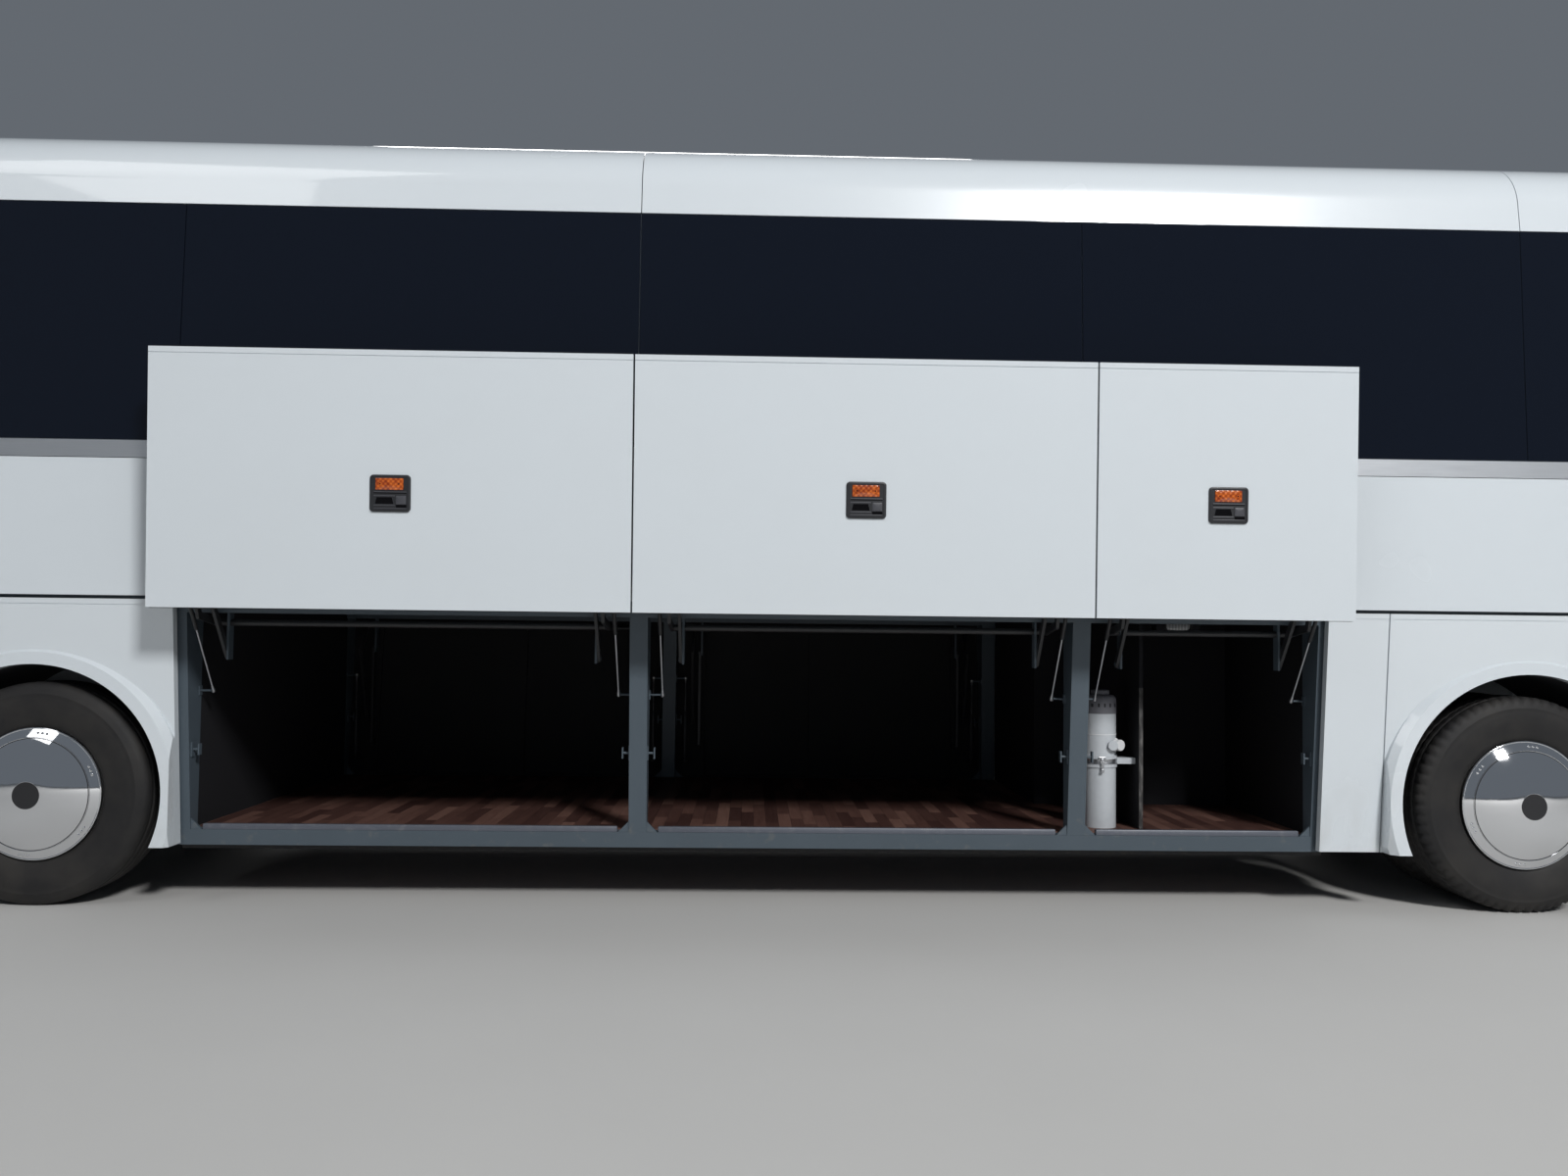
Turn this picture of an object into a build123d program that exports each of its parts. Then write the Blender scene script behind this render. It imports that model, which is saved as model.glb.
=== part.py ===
from build123d import *
from math import atan2, cos, degrees, hypot, radians, sin, sqrt
import os

# High-deck touring coach with two axles, 13.1 m long, parked with the three luggage
# doors of its left side raised.
# Frame: millimetres, +X to the rear, +Y to the kerb (right) side, +Z up, origin on the
# ground under the middle of the coach.

# Overall sizes and the levels of its skin
LENGTH = 13115
WIDTH = 2550
ROOF_TOP = 3690
SKIRT_Z = 278
BELT_Z = 1418
TRIM_Z = 2047
GLASS_Z = 2130
COVE_Z = 3237
CREASE_Z = 3355
CREASE_Y = 1220
SHOULDER_Z = 3620
SHOULDER_Y = 930
SKIRT_LEAN = 0.099
GLASS_LEAN = 0.0375
HALF = WIDTH / 2
FRONT_X = -LENGTH / 2
REAR_X = LENGTH / 2

# Axles, wheels and tyres (295/80 R22.5)
WHEELBASE = 6910
FRONT_AXLE_X = -3712.5
REAR_AXLE_X = FRONT_AXLE_X + WHEELBASE
TYRE_R = 510
TYRE_WIDTH = 298
TYRE_FACE_Y = 1215
TWIN_PITCH = 330
RIM_R = 286
RIM_WALL = 9
CAP_R = 299
CAP_RISE = 70
CAP_DISC_R = 62
HUB_R = 150
KINGPIN_Y = 940
KINGPIN_R = 32
STEER_ANGLE = 45
FRONT_ARCH_R = 592
REAR_ARCH_R = 615
FLARE_WIDTH = 86
WHEEL_Y = TYRE_FACE_Y - TYRE_WIDTH / 2

# Walls and joints between panels
PANEL = 40
GLASS = 8
GLASS_SET = 2
SEAT_DEPTH = GLASS + GLASS_SET
PANE_GAP = 4
REBATE_LIP = 22
JOINT = 6
DOOR_GAP = 8
ROOF_WALL = 60
BOW_DEPTH = 40
POST_DEPTH = 60
POST_WIDTH = 70

# Where the shell is divided along its length, and how far from its ends the nose and tail turn
MASK_X = FRONT_X + 1367.5
TAIL_X = REAR_X - 677.5
SEAMS = (MASK_X, -3094, -994, 1080, 3185, 5280, TAIL_X)
ROOF_SEAMS = (MASK_X, -994, 3185, TAIL_X)
NOSE_CORNER_X = FRONT_X + 277.5
NOSE_FLANK_X = FRONT_X + 757.5
NOSE_ROOF_X = FRONT_X + 1257.5
TAIL_CORNER_X = REAR_X - 137.5
TAIL_FLANK_X = REAR_X - 357.5
TAIL_ROOF_X = REAR_X - 557.5

# Luggage bays: pillars as (front face, rear face), floor and ceiling
BAY_X0 = -3083
BAY_X1 = 2232
SPLIT_1 = -983
SPLIT_2 = 1064
PILLARS = ((-3115, -3047), (-1020, -937), (1049, 1133), (2213, 2300))
DOOR_TOP = 1402
DOOR_THICK = 45
SEAL = 8
SILL_Z = 268
SILL_TOP = 340
FLOOR_Z = 320
FLOOR_THICK = 25
SILL_INNER_Y = 1040
RAIL_Z = 1345
CABIN_Z = 1440
CABIN_THICK = 40
PILLAR_INNER_Y = 1025
UNDER_Z = 240
CEILING = (RAIL_Z + 37, RAIL_Z + 45)
FIT = 0.3

# Luggage door linkage in the door's own section: u outwards from the belt, z up.
# The arms turn from hanging down to pointing up and out, the door stays upright.
ARM_U = -150
ARM_Z = 1300
ARM_LENGTH = 600
ARM_DOWN = -89.3
ARM_UP = 53.4
DOOR_TURN = 3.42
ELBOW_OUT = 210
ELBOW_UP = 30
LINK_DROP = 150
LINK_LENGTH = 600
STRUT_U = -220
STRUT_Z = 980
STRUT_PIN_DEPTH = 115
STRUT_PIN_Z = 450
ARM_THICK = 14
ARM_HALF_WIDTH = 17
SHAFT_R = 15
PIN_R = 9
RUNNING = 0.1
EYE_GAP = 0.3
STRUT_PLANE = 62
ARM_PLANE = 108
LINK_PLANE = 150
TUBE_R = 9
ROD_R = 4
TUBE_LENGTH = 440
LUG = 10
DOOR_RIB = 180
DOOR_SKIN = 20

# Passenger doors: arms swing about an upright shaft and the leaf stays parallel
LEAF_SHIFT = 150
LEAF_PIN_Y = 1150
LEAF_SETBACK = 250
LEAF_SHAFT_INSET = 52
LEAF_SHAFT_R = 18
LEAF_ARM = 12
LEAF_ARM_TALL = 30
LEAF_ARM_Z = (760, 1190)
LEAF_PIN_R = 8
LEAF_GAP = 4
LEAF_BRACKET_Z = 2060
BRACKET_THICK = 15

os.makedirs("parts", exist_ok=True)


def write(name, *shapes):
    """One node as a STEP file: its solids are fused where they touch."""
    solids = []
    for shape in shapes:
        for item in shape if isinstance(shape, (list, tuple)) else [shape]:
            solids += item.solids()
    export_step(Compound(children=solids), f"parts/{name}.step")


def fused(shapes):
    """The union of a list of shapes that touch or overlap."""
    return shapes[0].fuse(*shapes[1:]) if len(shapes) > 1 else shapes[0]


def box(x0, x1, y0, y1, z0, z1):
    """A box between two corners."""
    size = abs(x1 - x0), abs(y1 - y0), abs(z1 - z0)
    return Pos((x0 + x1) / 2, (y0 + y1) / 2, (z0 + z1) / 2) * Box(*size)


def prism(points, x0, x1):
    """A (y, z) outline carried along X from x0 to x1."""
    return extrude(Plane.YZ.offset(x0) * make_face(Polyline(*points, close=True)), x1 - x0)


def plate(points, z0, z1):
    """An (x, y) outline carried up from z0 to z1."""
    return extrude(Plane.XY.offset(z0) * make_face(Polyline(*points, close=True)), z1 - z0)


def cyl_x(x0, x1, y, z, radius):
    """A round bar along X."""
    return Pos((x0 + x1) / 2, y, z) * Rot(0, 90, 0) * Cylinder(radius, abs(x1 - x0))


def cyl_y(x, y0, y1, z, radius):
    """A round bar along Y."""
    return Pos(x, (y0 + y1) / 2, z) * Rot(90, 0, 0) * Cylinder(radius, abs(y1 - y0))


def cyl_z(x, y, z0, z1, radius):
    """A round bar along Z."""
    return Pos(x, y, (z0 + z1) / 2) * Cylinder(radius, abs(z1 - z0))


def other_side(shape):
    """The same shape on the other side of the coach."""
    return mirror(shape, about=Plane.XZ)


def both(shape):
    """A shape of the right side with its twin on the left."""
    return [shape, other_side(shape)]


def outer_y(z):
    """Half width of the coach's skin at height z, up to the cove."""
    if z < BELT_Z:
        return HALF - SKIRT_LEAN * (BELT_Z - z)
    return HALF - GLASS_LEAN * max(0, z - GLASS_Z)


def wall(x0, x1, z0, z1, near, far):
    """A strip of the right wall, between two depths behind the skin."""
    levels = [z0] + [z for z in (BELT_Z, GLASS_Z) if z0 < z < z1] + [z1]
    outline = [(outer_y(z) - near, z) for z in levels]
    outline += [(outer_y(z) - far, z) for z in reversed(levels)]
    return prism(outline, x0, x1)


def envelope(inset):
    """The coach's outer form, inset all round: plan, side view and section crossed."""
    front, rear, half, top = FRONT_X + inset, REAR_X - inset, HALF - inset, ROOF_TOP - inset
    plan = make_face(Curve() + [
        Polyline((TAIL_FLANK_X, half), (NOSE_FLANK_X, half)),
        ThreePointArc((NOSE_FLANK_X, half), (NOSE_CORNER_X, half - 90), (front + 100, half - 420)),
        ThreePointArc((front + 100, half - 420), (front, 0), (front + 100, 420 - half)),
        ThreePointArc((front + 100, 420 - half), (NOSE_CORNER_X, 90 - half), (NOSE_FLANK_X, -half)),
        Polyline((NOSE_FLANK_X, -half), (TAIL_FLANK_X, -half)),
        ThreePointArc((TAIL_FLANK_X, -half), (TAIL_CORNER_X, 60 - half), (rear - 40, 260 - half)),
        ThreePointArc((rear - 40, 260 - half), (rear, 0), (rear - 40, half - 260)),
        ThreePointArc((rear - 40, half - 260), (TAIL_CORNER_X, half - 60), (TAIL_FLANK_X, half)),
    ])
    side = make_face(Curve() + [
        Polyline((NOSE_ROOF_X, top), (TAIL_ROOF_X, top)),
        ThreePointArc((TAIL_ROOF_X, top), (rear - 170, top - 110), (rear - 60, top - 420)),
        Polyline((rear - 60, top - 420), (rear, 1900), (rear, 520), (rear - 120, 150),
                 (front + 160, 150), (front + 10, 560), (front, 1250)),
        ThreePointArc((front, 1250), (front + 130, 2500), (front + 420, 3300)),
        ThreePointArc((front + 420, 3300), (front + 700, top - 110), (NOSE_ROOF_X, top)),
    ])
    flank = [(HALF - SKIRT_LEAN * (BELT_Z - 100) - inset, 100), (half, BELT_Z), (half, GLASS_Z),
             (outer_y(COVE_Z) - inset, COVE_Z), (CREASE_Y - inset, CREASE_Z)]
    crease = flank[-1]
    shoulder = (SHOULDER_Y - 0.6 * inset, SHOULDER_Z - 0.8 * inset)
    haunch = ((crease[0] + shoulder[0]) / 2 + 62, (crease[1] + shoulder[1]) / 2 + 52)
    section = make_face(Curve() + [
        Polyline((-flank[0][0], flank[0][1]), *flank),
        ThreePointArc(crease, haunch, shoulder),
        ThreePointArc(shoulder, (0, top), (-shoulder[0], shoulder[1])),
        ThreePointArc((-shoulder[0], shoulder[1]), (-haunch[0], haunch[1]), (-crease[0], crease[1])),
        Polyline(*[(-y, z) for y, z in reversed(flank)]),
    ])
    body = extrude(plan, ROOF_TOP + 200)
    body &= extrude(Plane.XZ.offset(-HALF - 100) * side, WIDTH + 200)
    body &= extrude(Plane.YZ.offset(FRONT_X - 100) * section, LENGTH + 200)
    return body


# The coach's skins: the whole outer form less the same form inset by each wall
OUTER = envelope(0)
PANEL_SHELL = OUTER - envelope(PANEL)
ROOF_SHELL = OUTER - envelope(ROOF_WALL)
GLASS_SHELL = envelope(GLASS_SET) - envelope(SEAT_DEPTH)
REBATE = OUTER - envelope(SEAT_DEPTH)
POST_SHELL = envelope(SEAT_DEPTH) - envelope(SEAT_DEPTH + POST_DEPTH)
BOW_SHELL = envelope(ROOF_WALL) - envelope(ROOF_WALL + BOW_DEPTH)
LAMP_SHELL = envelope(3) - envelope(PANEL)

# Doors of the right side for passengers: (front edge, rear edge, bottom, top)
FRONT_DOOR = (MASK_X - 810, MASK_X - 50, SKIRT_Z, 3000)
MID_DOOR = (1143, 2203, SKIRT_Z, TRIM_Z - 7)


def leaf_linkage(x0, x1):
    """Shaft, arm pins shut and open, and swing of a passenger door, in plan (x, y)."""
    travel = x1 - x0 + 20
    shaft_x = x1 - LEAF_SHAFT_INSET
    half = hypot(travel, LEAF_SHIFT) / 2
    nx, ny = LEAF_SHIFT / (2 * half), -travel / (2 * half)
    mid_x = shaft_x - LEAF_SETBACK * nx
    shaft = (shaft_x, LEAF_PIN_Y + LEAF_SHIFT / 2 + LEAF_SETBACK * ny)
    shut, open_pin = (mid_x - travel / 2, LEAF_PIN_Y), (mid_x + travel / 2, LEAF_PIN_Y + LEAF_SHIFT)
    swing = 2 * degrees(atan2(half, LEAF_SETBACK))
    return shaft, shut, open_pin, swing


# Luggage doors: (name, side, front edge, rear edge, pillar faces each side)
LUGGAGE_DOORS = (
    ("left_1", -1, BAY_X0, SPLIT_1, PILLARS[0][1], PILLARS[1][0]),
    ("left_2", -1, SPLIT_1, SPLIT_2, PILLARS[1][1], PILLARS[2][0]),
    ("left_3", -1, SPLIT_2, BAY_X1, PILLARS[2][1], PILLARS[3][0]),
    ("right_1", 1, BAY_X0, SPLIT_1, PILLARS[0][1], PILLARS[1][0]),
    ("right_2", 1, SPLIT_1, SPLIT_2, PILLARS[1][1], PILLARS[2][0]),
)


def polar(radius, angle):
    """A point at this distance and angle, in degrees."""
    return radius * cos(radians(angle)), radius * sin(radians(angle))


def turned(point, centre, angle):
    """A (u, z) point turned about a centre."""
    du, dz = point[0] - centre[0], point[1] - centre[1]
    c, s = cos(radians(angle)), sin(radians(angle))
    return centre[0] + c * du - s * dz, centre[1] + s * du + c * dz


# The linkage's pins in (u, z), with the door closed, and where the open door puts them
SWING = ARM_UP - ARM_DOWN
ARM_PIVOT = (ARM_U, ARM_Z)
ARM_PIN = tuple(a + b for a, b in zip(ARM_PIVOT, polar(ARM_LENGTH, ARM_DOWN)))
ARM_PIN_OPEN = turned(ARM_PIN, ARM_PIVOT, SWING)
ELBOW = turned((ARM_U + ELBOW_OUT, ARM_Z + ELBOW_UP), ARM_PIVOT, -SWING)


def opened(point):
    """Where a point of the closed door lies when the door is open."""
    u, z = turned(point, ARM_PIN, DOOR_TURN)
    return u + ARM_PIN_OPEN[0] - ARM_PIN[0], z + ARM_PIN_OPEN[1] - ARM_PIN[1]


LINK_PIN = (ARM_PIN[0] - SKIRT_LEAN * LINK_DROP, ARM_PIN[1] - LINK_DROP)
LINK_PIN_OPEN = opened(LINK_PIN)
LINK_CHORD = (LINK_PIN_OPEN[0] - LINK_PIN[0], LINK_PIN_OPEN[1] - LINK_PIN[1])
LINK_REACH = sqrt(LINK_LENGTH ** 2 - (hypot(*LINK_CHORD) / 2) ** 2) / hypot(*LINK_CHORD)
LINK_PIVOT = ((LINK_PIN[0] + LINK_PIN_OPEN[0]) / 2 - LINK_CHORD[1] * LINK_REACH,
              (LINK_PIN[1] + LINK_PIN_OPEN[1]) / 2 + LINK_CHORD[0] * LINK_REACH)
STRUT_FOOT = (STRUT_U, STRUT_Z)
STRUT_PIN = (-SKIRT_LEAN * (BELT_Z - STRUT_PIN_Z) - STRUT_PIN_DEPTH, STRUT_PIN_Z)


def bearing(start, end):
    """Angle of the line from one point to another, in degrees."""
    return degrees(atan2(end[1] - start[1], end[0] - start[0]))


LINK_SWING = bearing(LINK_PIVOT, LINK_PIN_OPEN) - bearing(LINK_PIVOT, LINK_PIN)
STRUT_PIN_OPEN = opened(STRUT_PIN)
STRUT_DOWN, STRUT_UP = bearing(STRUT_FOOT, STRUT_PIN), bearing(STRUT_FOOT, STRUT_PIN_OPEN)
STRUT_SHORT = hypot(STRUT_PIN[0] - STRUT_U, STRUT_PIN[1] - STRUT_Z)
STRUT_LONG = hypot(STRUT_PIN_OPEN[0] - STRUT_U, STRUT_PIN_OPEN[1] - STRUT_Z)


def at(point):
    """A (u, z) point of the linkage as (y, z) of the right side."""
    return HALF + point[0], point[1]


def bar(path, half_width, x0, x1):
    """A flat bar in the linkage's plane: straight runs with round ends and elbows."""
    runs = []
    for a, b in zip(path, path[1:]):
        ux, uz = (b[0] - a[0]) / hypot(b[0] - a[0], b[1] - a[1]), (b[1] - a[1]) / hypot(b[0] - a[0], b[1] - a[1])
        side = (-uz * half_width, ux * half_width)
        corners = [(a[0] + side[0], a[1] + side[1]), (b[0] + side[0], b[1] + side[1]),
                   (b[0] - side[0], b[1] - side[1]), (a[0] - side[0], a[1] - side[1])]
        runs.append(prism([at(c) for c in corners], x0, x1))
    rounds = [cyl_x(x0, x1, *at(p), half_width) for p in path]
    return fused(runs + rounds)


def swung(shape, centre, angle):
    """A shape turned about a pin of the linkage."""
    y, z = at(centre)
    return shape.rotate(Axis((0, y, z), (1, 0, 0)), angle)


def ends(x_front, x_rear, offset, depth):
    """The X spans of a bar of this depth at both ends of a door, offset from its pillars."""
    return ((x_front + offset, x_front + offset + depth), (x_rear - offset - depth, x_rear - offset))


def luggage_door(x0, x1, px0, px1):
    """One closed door: a pressed leaf with its frame, middle rib and lock housing."""
    left, right = x0 + DOOR_GAP / 2, x1 - DOOR_GAP / 2
    middle = (left + right) / 2
    leaf = wall(left, right, SKIRT_Z, DOOR_TOP, 0, DOOR_THICK)
    for a, b in ((px0 + DOOR_RIB, middle - 110), (middle + 110, px1 - DOOR_RIB)):
        leaf -= wall(a, b, SKIRT_Z + 70, DOOR_TOP - 70, DOOR_SKIN, DOOR_THICK + 5)
    leaf -= wall(left - 1, right + 1, DOOR_TOP - 27, DOOR_TOP - 24, -1, 3)
    housing = wall(middle - 84, middle + 84, 704, 858, -6, 10)
    return leaf + housing


def luggage_lugs(px0, px1):
    """The lugs and pins on a closed door's inner face for its arms, links and struts."""
    lugs = []
    rows = ((ARM_PIN, ARM_PLANE, ARM_THICK, 20), (LINK_PIN, LINK_PLANE, ARM_THICK, 20),
            (STRUT_PIN, STRUT_PLANE, 2 * ROD_R + 4, 12))
    for pin, plane_x, thick, half_height in rows:
        y, z = at(pin)
        inside = thick / 2 + EYE_GAP
        for a, b in ends(px0, px1, plane_x + inside, LUG):
            lugs.append(prism([(y - 14, z - half_height), (outer_y(z - half_height) - DOOR_THICK + 2, z - half_height),
                               (outer_y(z + half_height) - DOOR_THICK + 2, z + half_height),
                               (y - 14, z + half_height)], a, b))
        if pin is ARM_PIN:
            for a, b in ends(px0, px1, plane_x - thick / 2 - 3, thick + 3 + inside):
                lugs.append(cyl_x(a, b, y, z, PIN_R))
    return lugs


def eye(shape, pin, x0, x1, radius):
    """Bore a running hole for a pin."""
    return shape - cyl_x(x0 - 5, x1 + 5, *at(pin), radius + RUNNING)


# Bodies of each luggage door, built closed on the right side and then posed
for name, side, x0, x1, px0, px1 in LUGGAGE_DOORS:
    door = fused([luggage_door(x0, x1, px0, px1)] + luggage_lugs(px0, px1))
    arms = [bar([ARM_PIVOT, ELBOW, ARM_PIN], ARM_HALF_WIDTH, a, b)
            for a, b in ends(px0, px1, ARM_PLANE - ARM_THICK / 2, ARM_THICK)]
    arms = [eye(arm, ARM_PIN, px0, px1, PIN_R) for arm in arms]
    shaft = cyl_x(px0 + ARM_PLANE - ARM_THICK / 2, px1 - ARM_PLANE + ARM_THICK / 2, *at(ARM_PIVOT), SHAFT_R)
    arm = fused(arms + [shaft])
    links = [eye(bar([LINK_PIVOT, LINK_PIN], ARM_HALF_WIDTH, a, b), LINK_PIVOT, a, b, PIN_R)
             for a, b in ends(px0, px1, LINK_PLANE - ARM_THICK / 2, ARM_THICK)]
    foot_y, foot_z = at(STRUT_FOOT)
    tubes, rods = [], []
    for a, b in ends(px0, px1, STRUT_PLANE - TUBE_R, 2 * TUBE_R):
        mid = (a + b) / 2
        tube = Pos(mid, foot_y, foot_z + 24 + (TUBE_LENGTH - 24) / 2) * Cylinder(TUBE_R, TUBE_LENGTH - 24)
        tube += cyl_z(mid, foot_y, foot_z + 7, foot_z + 26, 5) + cyl_x(mid - 7, mid + 7, foot_y, foot_z, 10)
        tube -= cyl_z(mid, foot_y, foot_z + 40, foot_z + TUBE_LENGTH + 5, ROD_R + RUNNING)
        tube -= cyl_x(mid - 20, mid + 20, foot_y, foot_z, 5 + RUNNING)
        rod = cyl_z(mid, foot_y, foot_z + STRUT_SHORT - 400, foot_z + STRUT_SHORT - 5, ROD_R)
        rod += cyl_x(mid - ROD_R - 2, mid + ROD_R + 2, foot_y, foot_z + STRUT_SHORT, 9)
        lean = STRUT_DOWN if side > 0 else STRUT_UP
        reach = 0 if side > 0 else STRUT_LONG - STRUT_SHORT
        tubes.append(swung(tube, STRUT_FOOT, lean - 90))
        rods.append(swung(Pos(0, 0, reach) * rod, STRUT_FOOT, lean - 90))
    if side < 0:
        door = other_side(Pos(0, ARM_PIN_OPEN[0] - ARM_PIN[0], ARM_PIN_OPEN[1] - ARM_PIN[1])
                          * swung(door, ARM_PIN, DOOR_TURN))
        arm = other_side(swung(arm, ARM_PIVOT, SWING))
        links = [other_side(swung(link, LINK_PIVOT, LINK_SWING)) for link in links]
        tubes, rods = [other_side(t) for t in tubes], [other_side(r) for r in rods]
    write(f"luggage_door_{name}", door)
    write(f"door_arm_{name}", arm)
    write(f"door_link_{name}", links)
    write(f"strut_tube_{name}", tubes)
    write(f"strut_rod_{name}", rods)


# Body frame: pillars of the bays, sills, rails, window posts and roof bows. Each bar ends a fitting gap
# short of the bar that carries it.
def band(shell, x0, x1, z0, z1):
    """The right half of a shell between two stations and two levels."""
    return shell & box(x0, x1, 300, HALF + 10, z0, z1)


def leaning(x0, x1, z0, z1, near, inner_y):
    """A bar whose outer face leans with the skin, this deep behind it, and whose inner is upright."""
    levels = [z0] + [z for z in (BELT_Z,) if z0 < z < z1] + [z1]
    return prism([(outer_y(z) - near, z) for z in levels] + [(inner_y, z1), (inner_y, z0)], x0, x1)


DOOR_SEAT = DOOR_THICK + SEAL
FRAME_X0 = MASK_X - 30
FRAME_X1 = TAIL_X + 30
POST_BACK = SEAT_DEPTH + POST_DEPTH
LEDGE_TOP = GLASS_Z + 30
HEAD_Z = COVE_Z - 50
HANGERS = ((FRAME_X0, MASK_X + 30), (-4450, -4390), (2500, 2550), (3880, 3940), (TAIL_X - 30, FRAME_X1))
HANGER_Z = SILL_TOP - 40
HANGER_INNER_Y = outer_y(SILL_TOP) - 90
BEAM_XS = (-4400, -3094, -994, 1080, 2250, 3185, 3900, 5000, TAIL_X)
DOOR_CLEAR = 6
STRIKER = (1115, 710)
STRIKER_R = 6
STRIKER_PLATE = 5
STRIKER_REACH = 36
GUSSET = 50
GUSSET_THICK = 14
STUD_R = 5


def flanged(x0, x1, z0, z1):
    """A bar behind the glass that stays behind the masks where it runs past them."""
    bar_behind = wall(x0, x1, z0, z1, PANEL, POST_BACK)
    return bar_behind + band(POST_SHELL, max(x0, MASK_X), min(x1, TAIL_X), z0, z1)


def pillar_fittings(face, out):
    """Foot gusset, latch striker and strut stud beside the face of a pillar that looks into a bay."""
    def span(near, far):
        return sorted((face + out * near, face + out * far))

    y, z = STRIKER
    striker = fused([
        box(*span(FIT, STRIKER_PLATE), y - 18, y + 18, z - 34, z + 34),
        cyl_x(*span(STRIKER_PLATE - 1, STRIKER_REACH), y, z, STRIKER_R),
        box(*span(STRIKER_REACH - 6, STRIKER_REACH), y - 14, y + 14, z - 26, z + 26),
    ])
    y, z = at(STRUT_FOOT)
    stud = box(*span(FIT, STRIKER_PLATE), y - 14, y + 14, z - 22, z + 22)
    stud += cyl_x(*span(FIT, STRUT_PLANE + 9), y, z, STUD_R)
    y = outer_y(SILL_TOP) - DOOR_SEAT - 3
    foot = make_face(Polyline((face + out * FIT, SILL_TOP + FIT), (face + out * GUSSET, SILL_TOP + FIT),
                              (face + out * FIT, SILL_TOP + GUSSET), close=True))
    return [striker, stud, extrude(Plane.XZ.offset(GUSSET_THICK - y) * foot, -GUSSET_THICK)]


# Where each pillar changes its depth behind the skin: (station, depth before it, depth behind it)
LEFT_STEPS = ((BAY_X0 - JOINT, PANEL, DOOR_SEAT), (SPLIT_1, DOOR_SEAT, DOOR_SEAT),
              (SPLIT_2, DOOR_SEAT, DOOR_SEAT), (BAY_X1 + JOINT, DOOR_SEAT, PANEL))
RIGHT_STEPS = LEFT_STEPS[:2] + ((SPLIT_2 + JOINT, DOOR_SEAT, PANEL),) + LEFT_STEPS[3:]
WELL = (MID_DOOR[0] - DOOR_CLEAR, MID_DOOR[1] + DOOR_CLEAR)
bars = []
for side, steps in ((-1, LEFT_STEPS), (1, RIGHT_STEPS)):
    one_side = []
    for (x0, x1), (split, front, rear) in zip(PILLARS, steps):
        runs = ((x0, x1, front),) if front == rear else ((x0, split - FIT, front), (split, x1, rear))
        for a, b, near in runs:
            one_side.append(leaning(a, b, SILL_TOP + FIT, RAIL_Z - FIT, near, SILL_INNER_Y))
    for _, door_side, _, _, px0, px1 in LUGGAGE_DOORS:
        if door_side == side:
            one_side += pillar_fittings(px0, 1) + pillar_fittings(px1, -1)
    sills = ((PILLARS[0][0], PILLARS[3][1]),)
    rails = ((FRAME_X0, FRAME_X1),)
    if side > 0:
        sills = ((PILLARS[0][0], WELL[0]), (WELL[1], PILLARS[3][1]))
        rails = ((FRAME_X0, WELL[0]), (WELL[1], FRAME_X1))
    one_side += [leaning(a, b, SILL_Z, SILL_TOP, DOOR_SEAT, SILL_INNER_Y) for a, b in sills]
    one_side += [leaning(a, b, RAIL_Z, CABIN_Z, DOOR_SEAT, PILLAR_INNER_Y) for a, b in rails]
    one_side += [flanged(FRAME_X0, FRAME_X1, TRIM_Z, LEDGE_TOP), flanged(FRAME_X0, FRAME_X1, HEAD_Z, COVE_Z)]
    for x in SEAMS:
        x0, x1 = max(x - POST_WIDTH / 2, FRAME_X0), min(x + POST_WIDTH / 2, FRAME_X1)
        one_side.append(wall(x0, x1, CABIN_Z + FIT, TRIM_Z - FIT, PANEL, PANEL + POST_DEPTH))
        one_side.append(flanged(x0, x1, LEDGE_TOP + FIT, HEAD_Z - FIT))
    for x0, x1 in HANGERS:
        one_side.append(leaning(x0, x1, HANGER_Z, RAIL_Z - FIT, PANEL, HANGER_INNER_Y))
    bars += one_side if side > 0 else [other_side(piece) for piece in one_side]
for _, side, _, _, px0, px1 in LUGGAGE_DOORS:
    y, z = at(LINK_PIVOT)
    tabs = ends(px0, px1, LINK_PLANE + ARM_THICK / 2 + EYE_GAP, LUG)
    pins = ends(px0, px1, LINK_PLANE - ARM_THICK / 2 - 3, ARM_THICK + 3 + EYE_GAP + 1)
    for (a, b), (c, d) in zip(tabs, pins):
        tab = box(a, b, y - 20, HALF + ARM_U + 25, z - 22, RAIL_Z - FIT)
        tab -= cyl_x(a - 5, b + 5, *at(ARM_PIVOT), SHAFT_R + RUNNING)
        tab = tab + cyl_x(c, d, y, z, PIN_R)
        bars.append(tab if side > 0 else other_side(tab))
for x in SEAMS:
    bars.append(BOW_SHELL & box(x - POST_WIDTH / 2, x + POST_WIDTH / 2, -HALF, HALF, COVE_Z + FIT, ROOF_TOP))
beam_y = PILLAR_INNER_Y - FIT
for x in BEAM_XS:
    bars.append(box(x - 30, x + 30, -beam_y, beam_y, CEILING[1], CABIN_Z))
for x0, x1, _, _ in (FRONT_DOOR, MID_DOOR):
    (sx, sy), _, _, _ = leaf_linkage(x0, x1)
    bracket_top = LEAF_BRACKET_Z + BRACKET_THICK
    bracket = box(sx - 30, x1 + 40, sy - 25, sy + 25, LEAF_BRACKET_Z, bracket_top)
    bracket += box(x1 + 20, x1 + 40, sy - 25, outer_y(LEAF_BRACKET_Z) - POST_BACK - FIT, LEAF_BRACKET_Z, bracket_top)
    bars.append(bracket - cyl_z(sx, sy, LEAF_BRACKET_Z - 5, bracket_top + 5, LEAF_SHAFT_R + RUNNING))
write("body_frame", bars)

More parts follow.
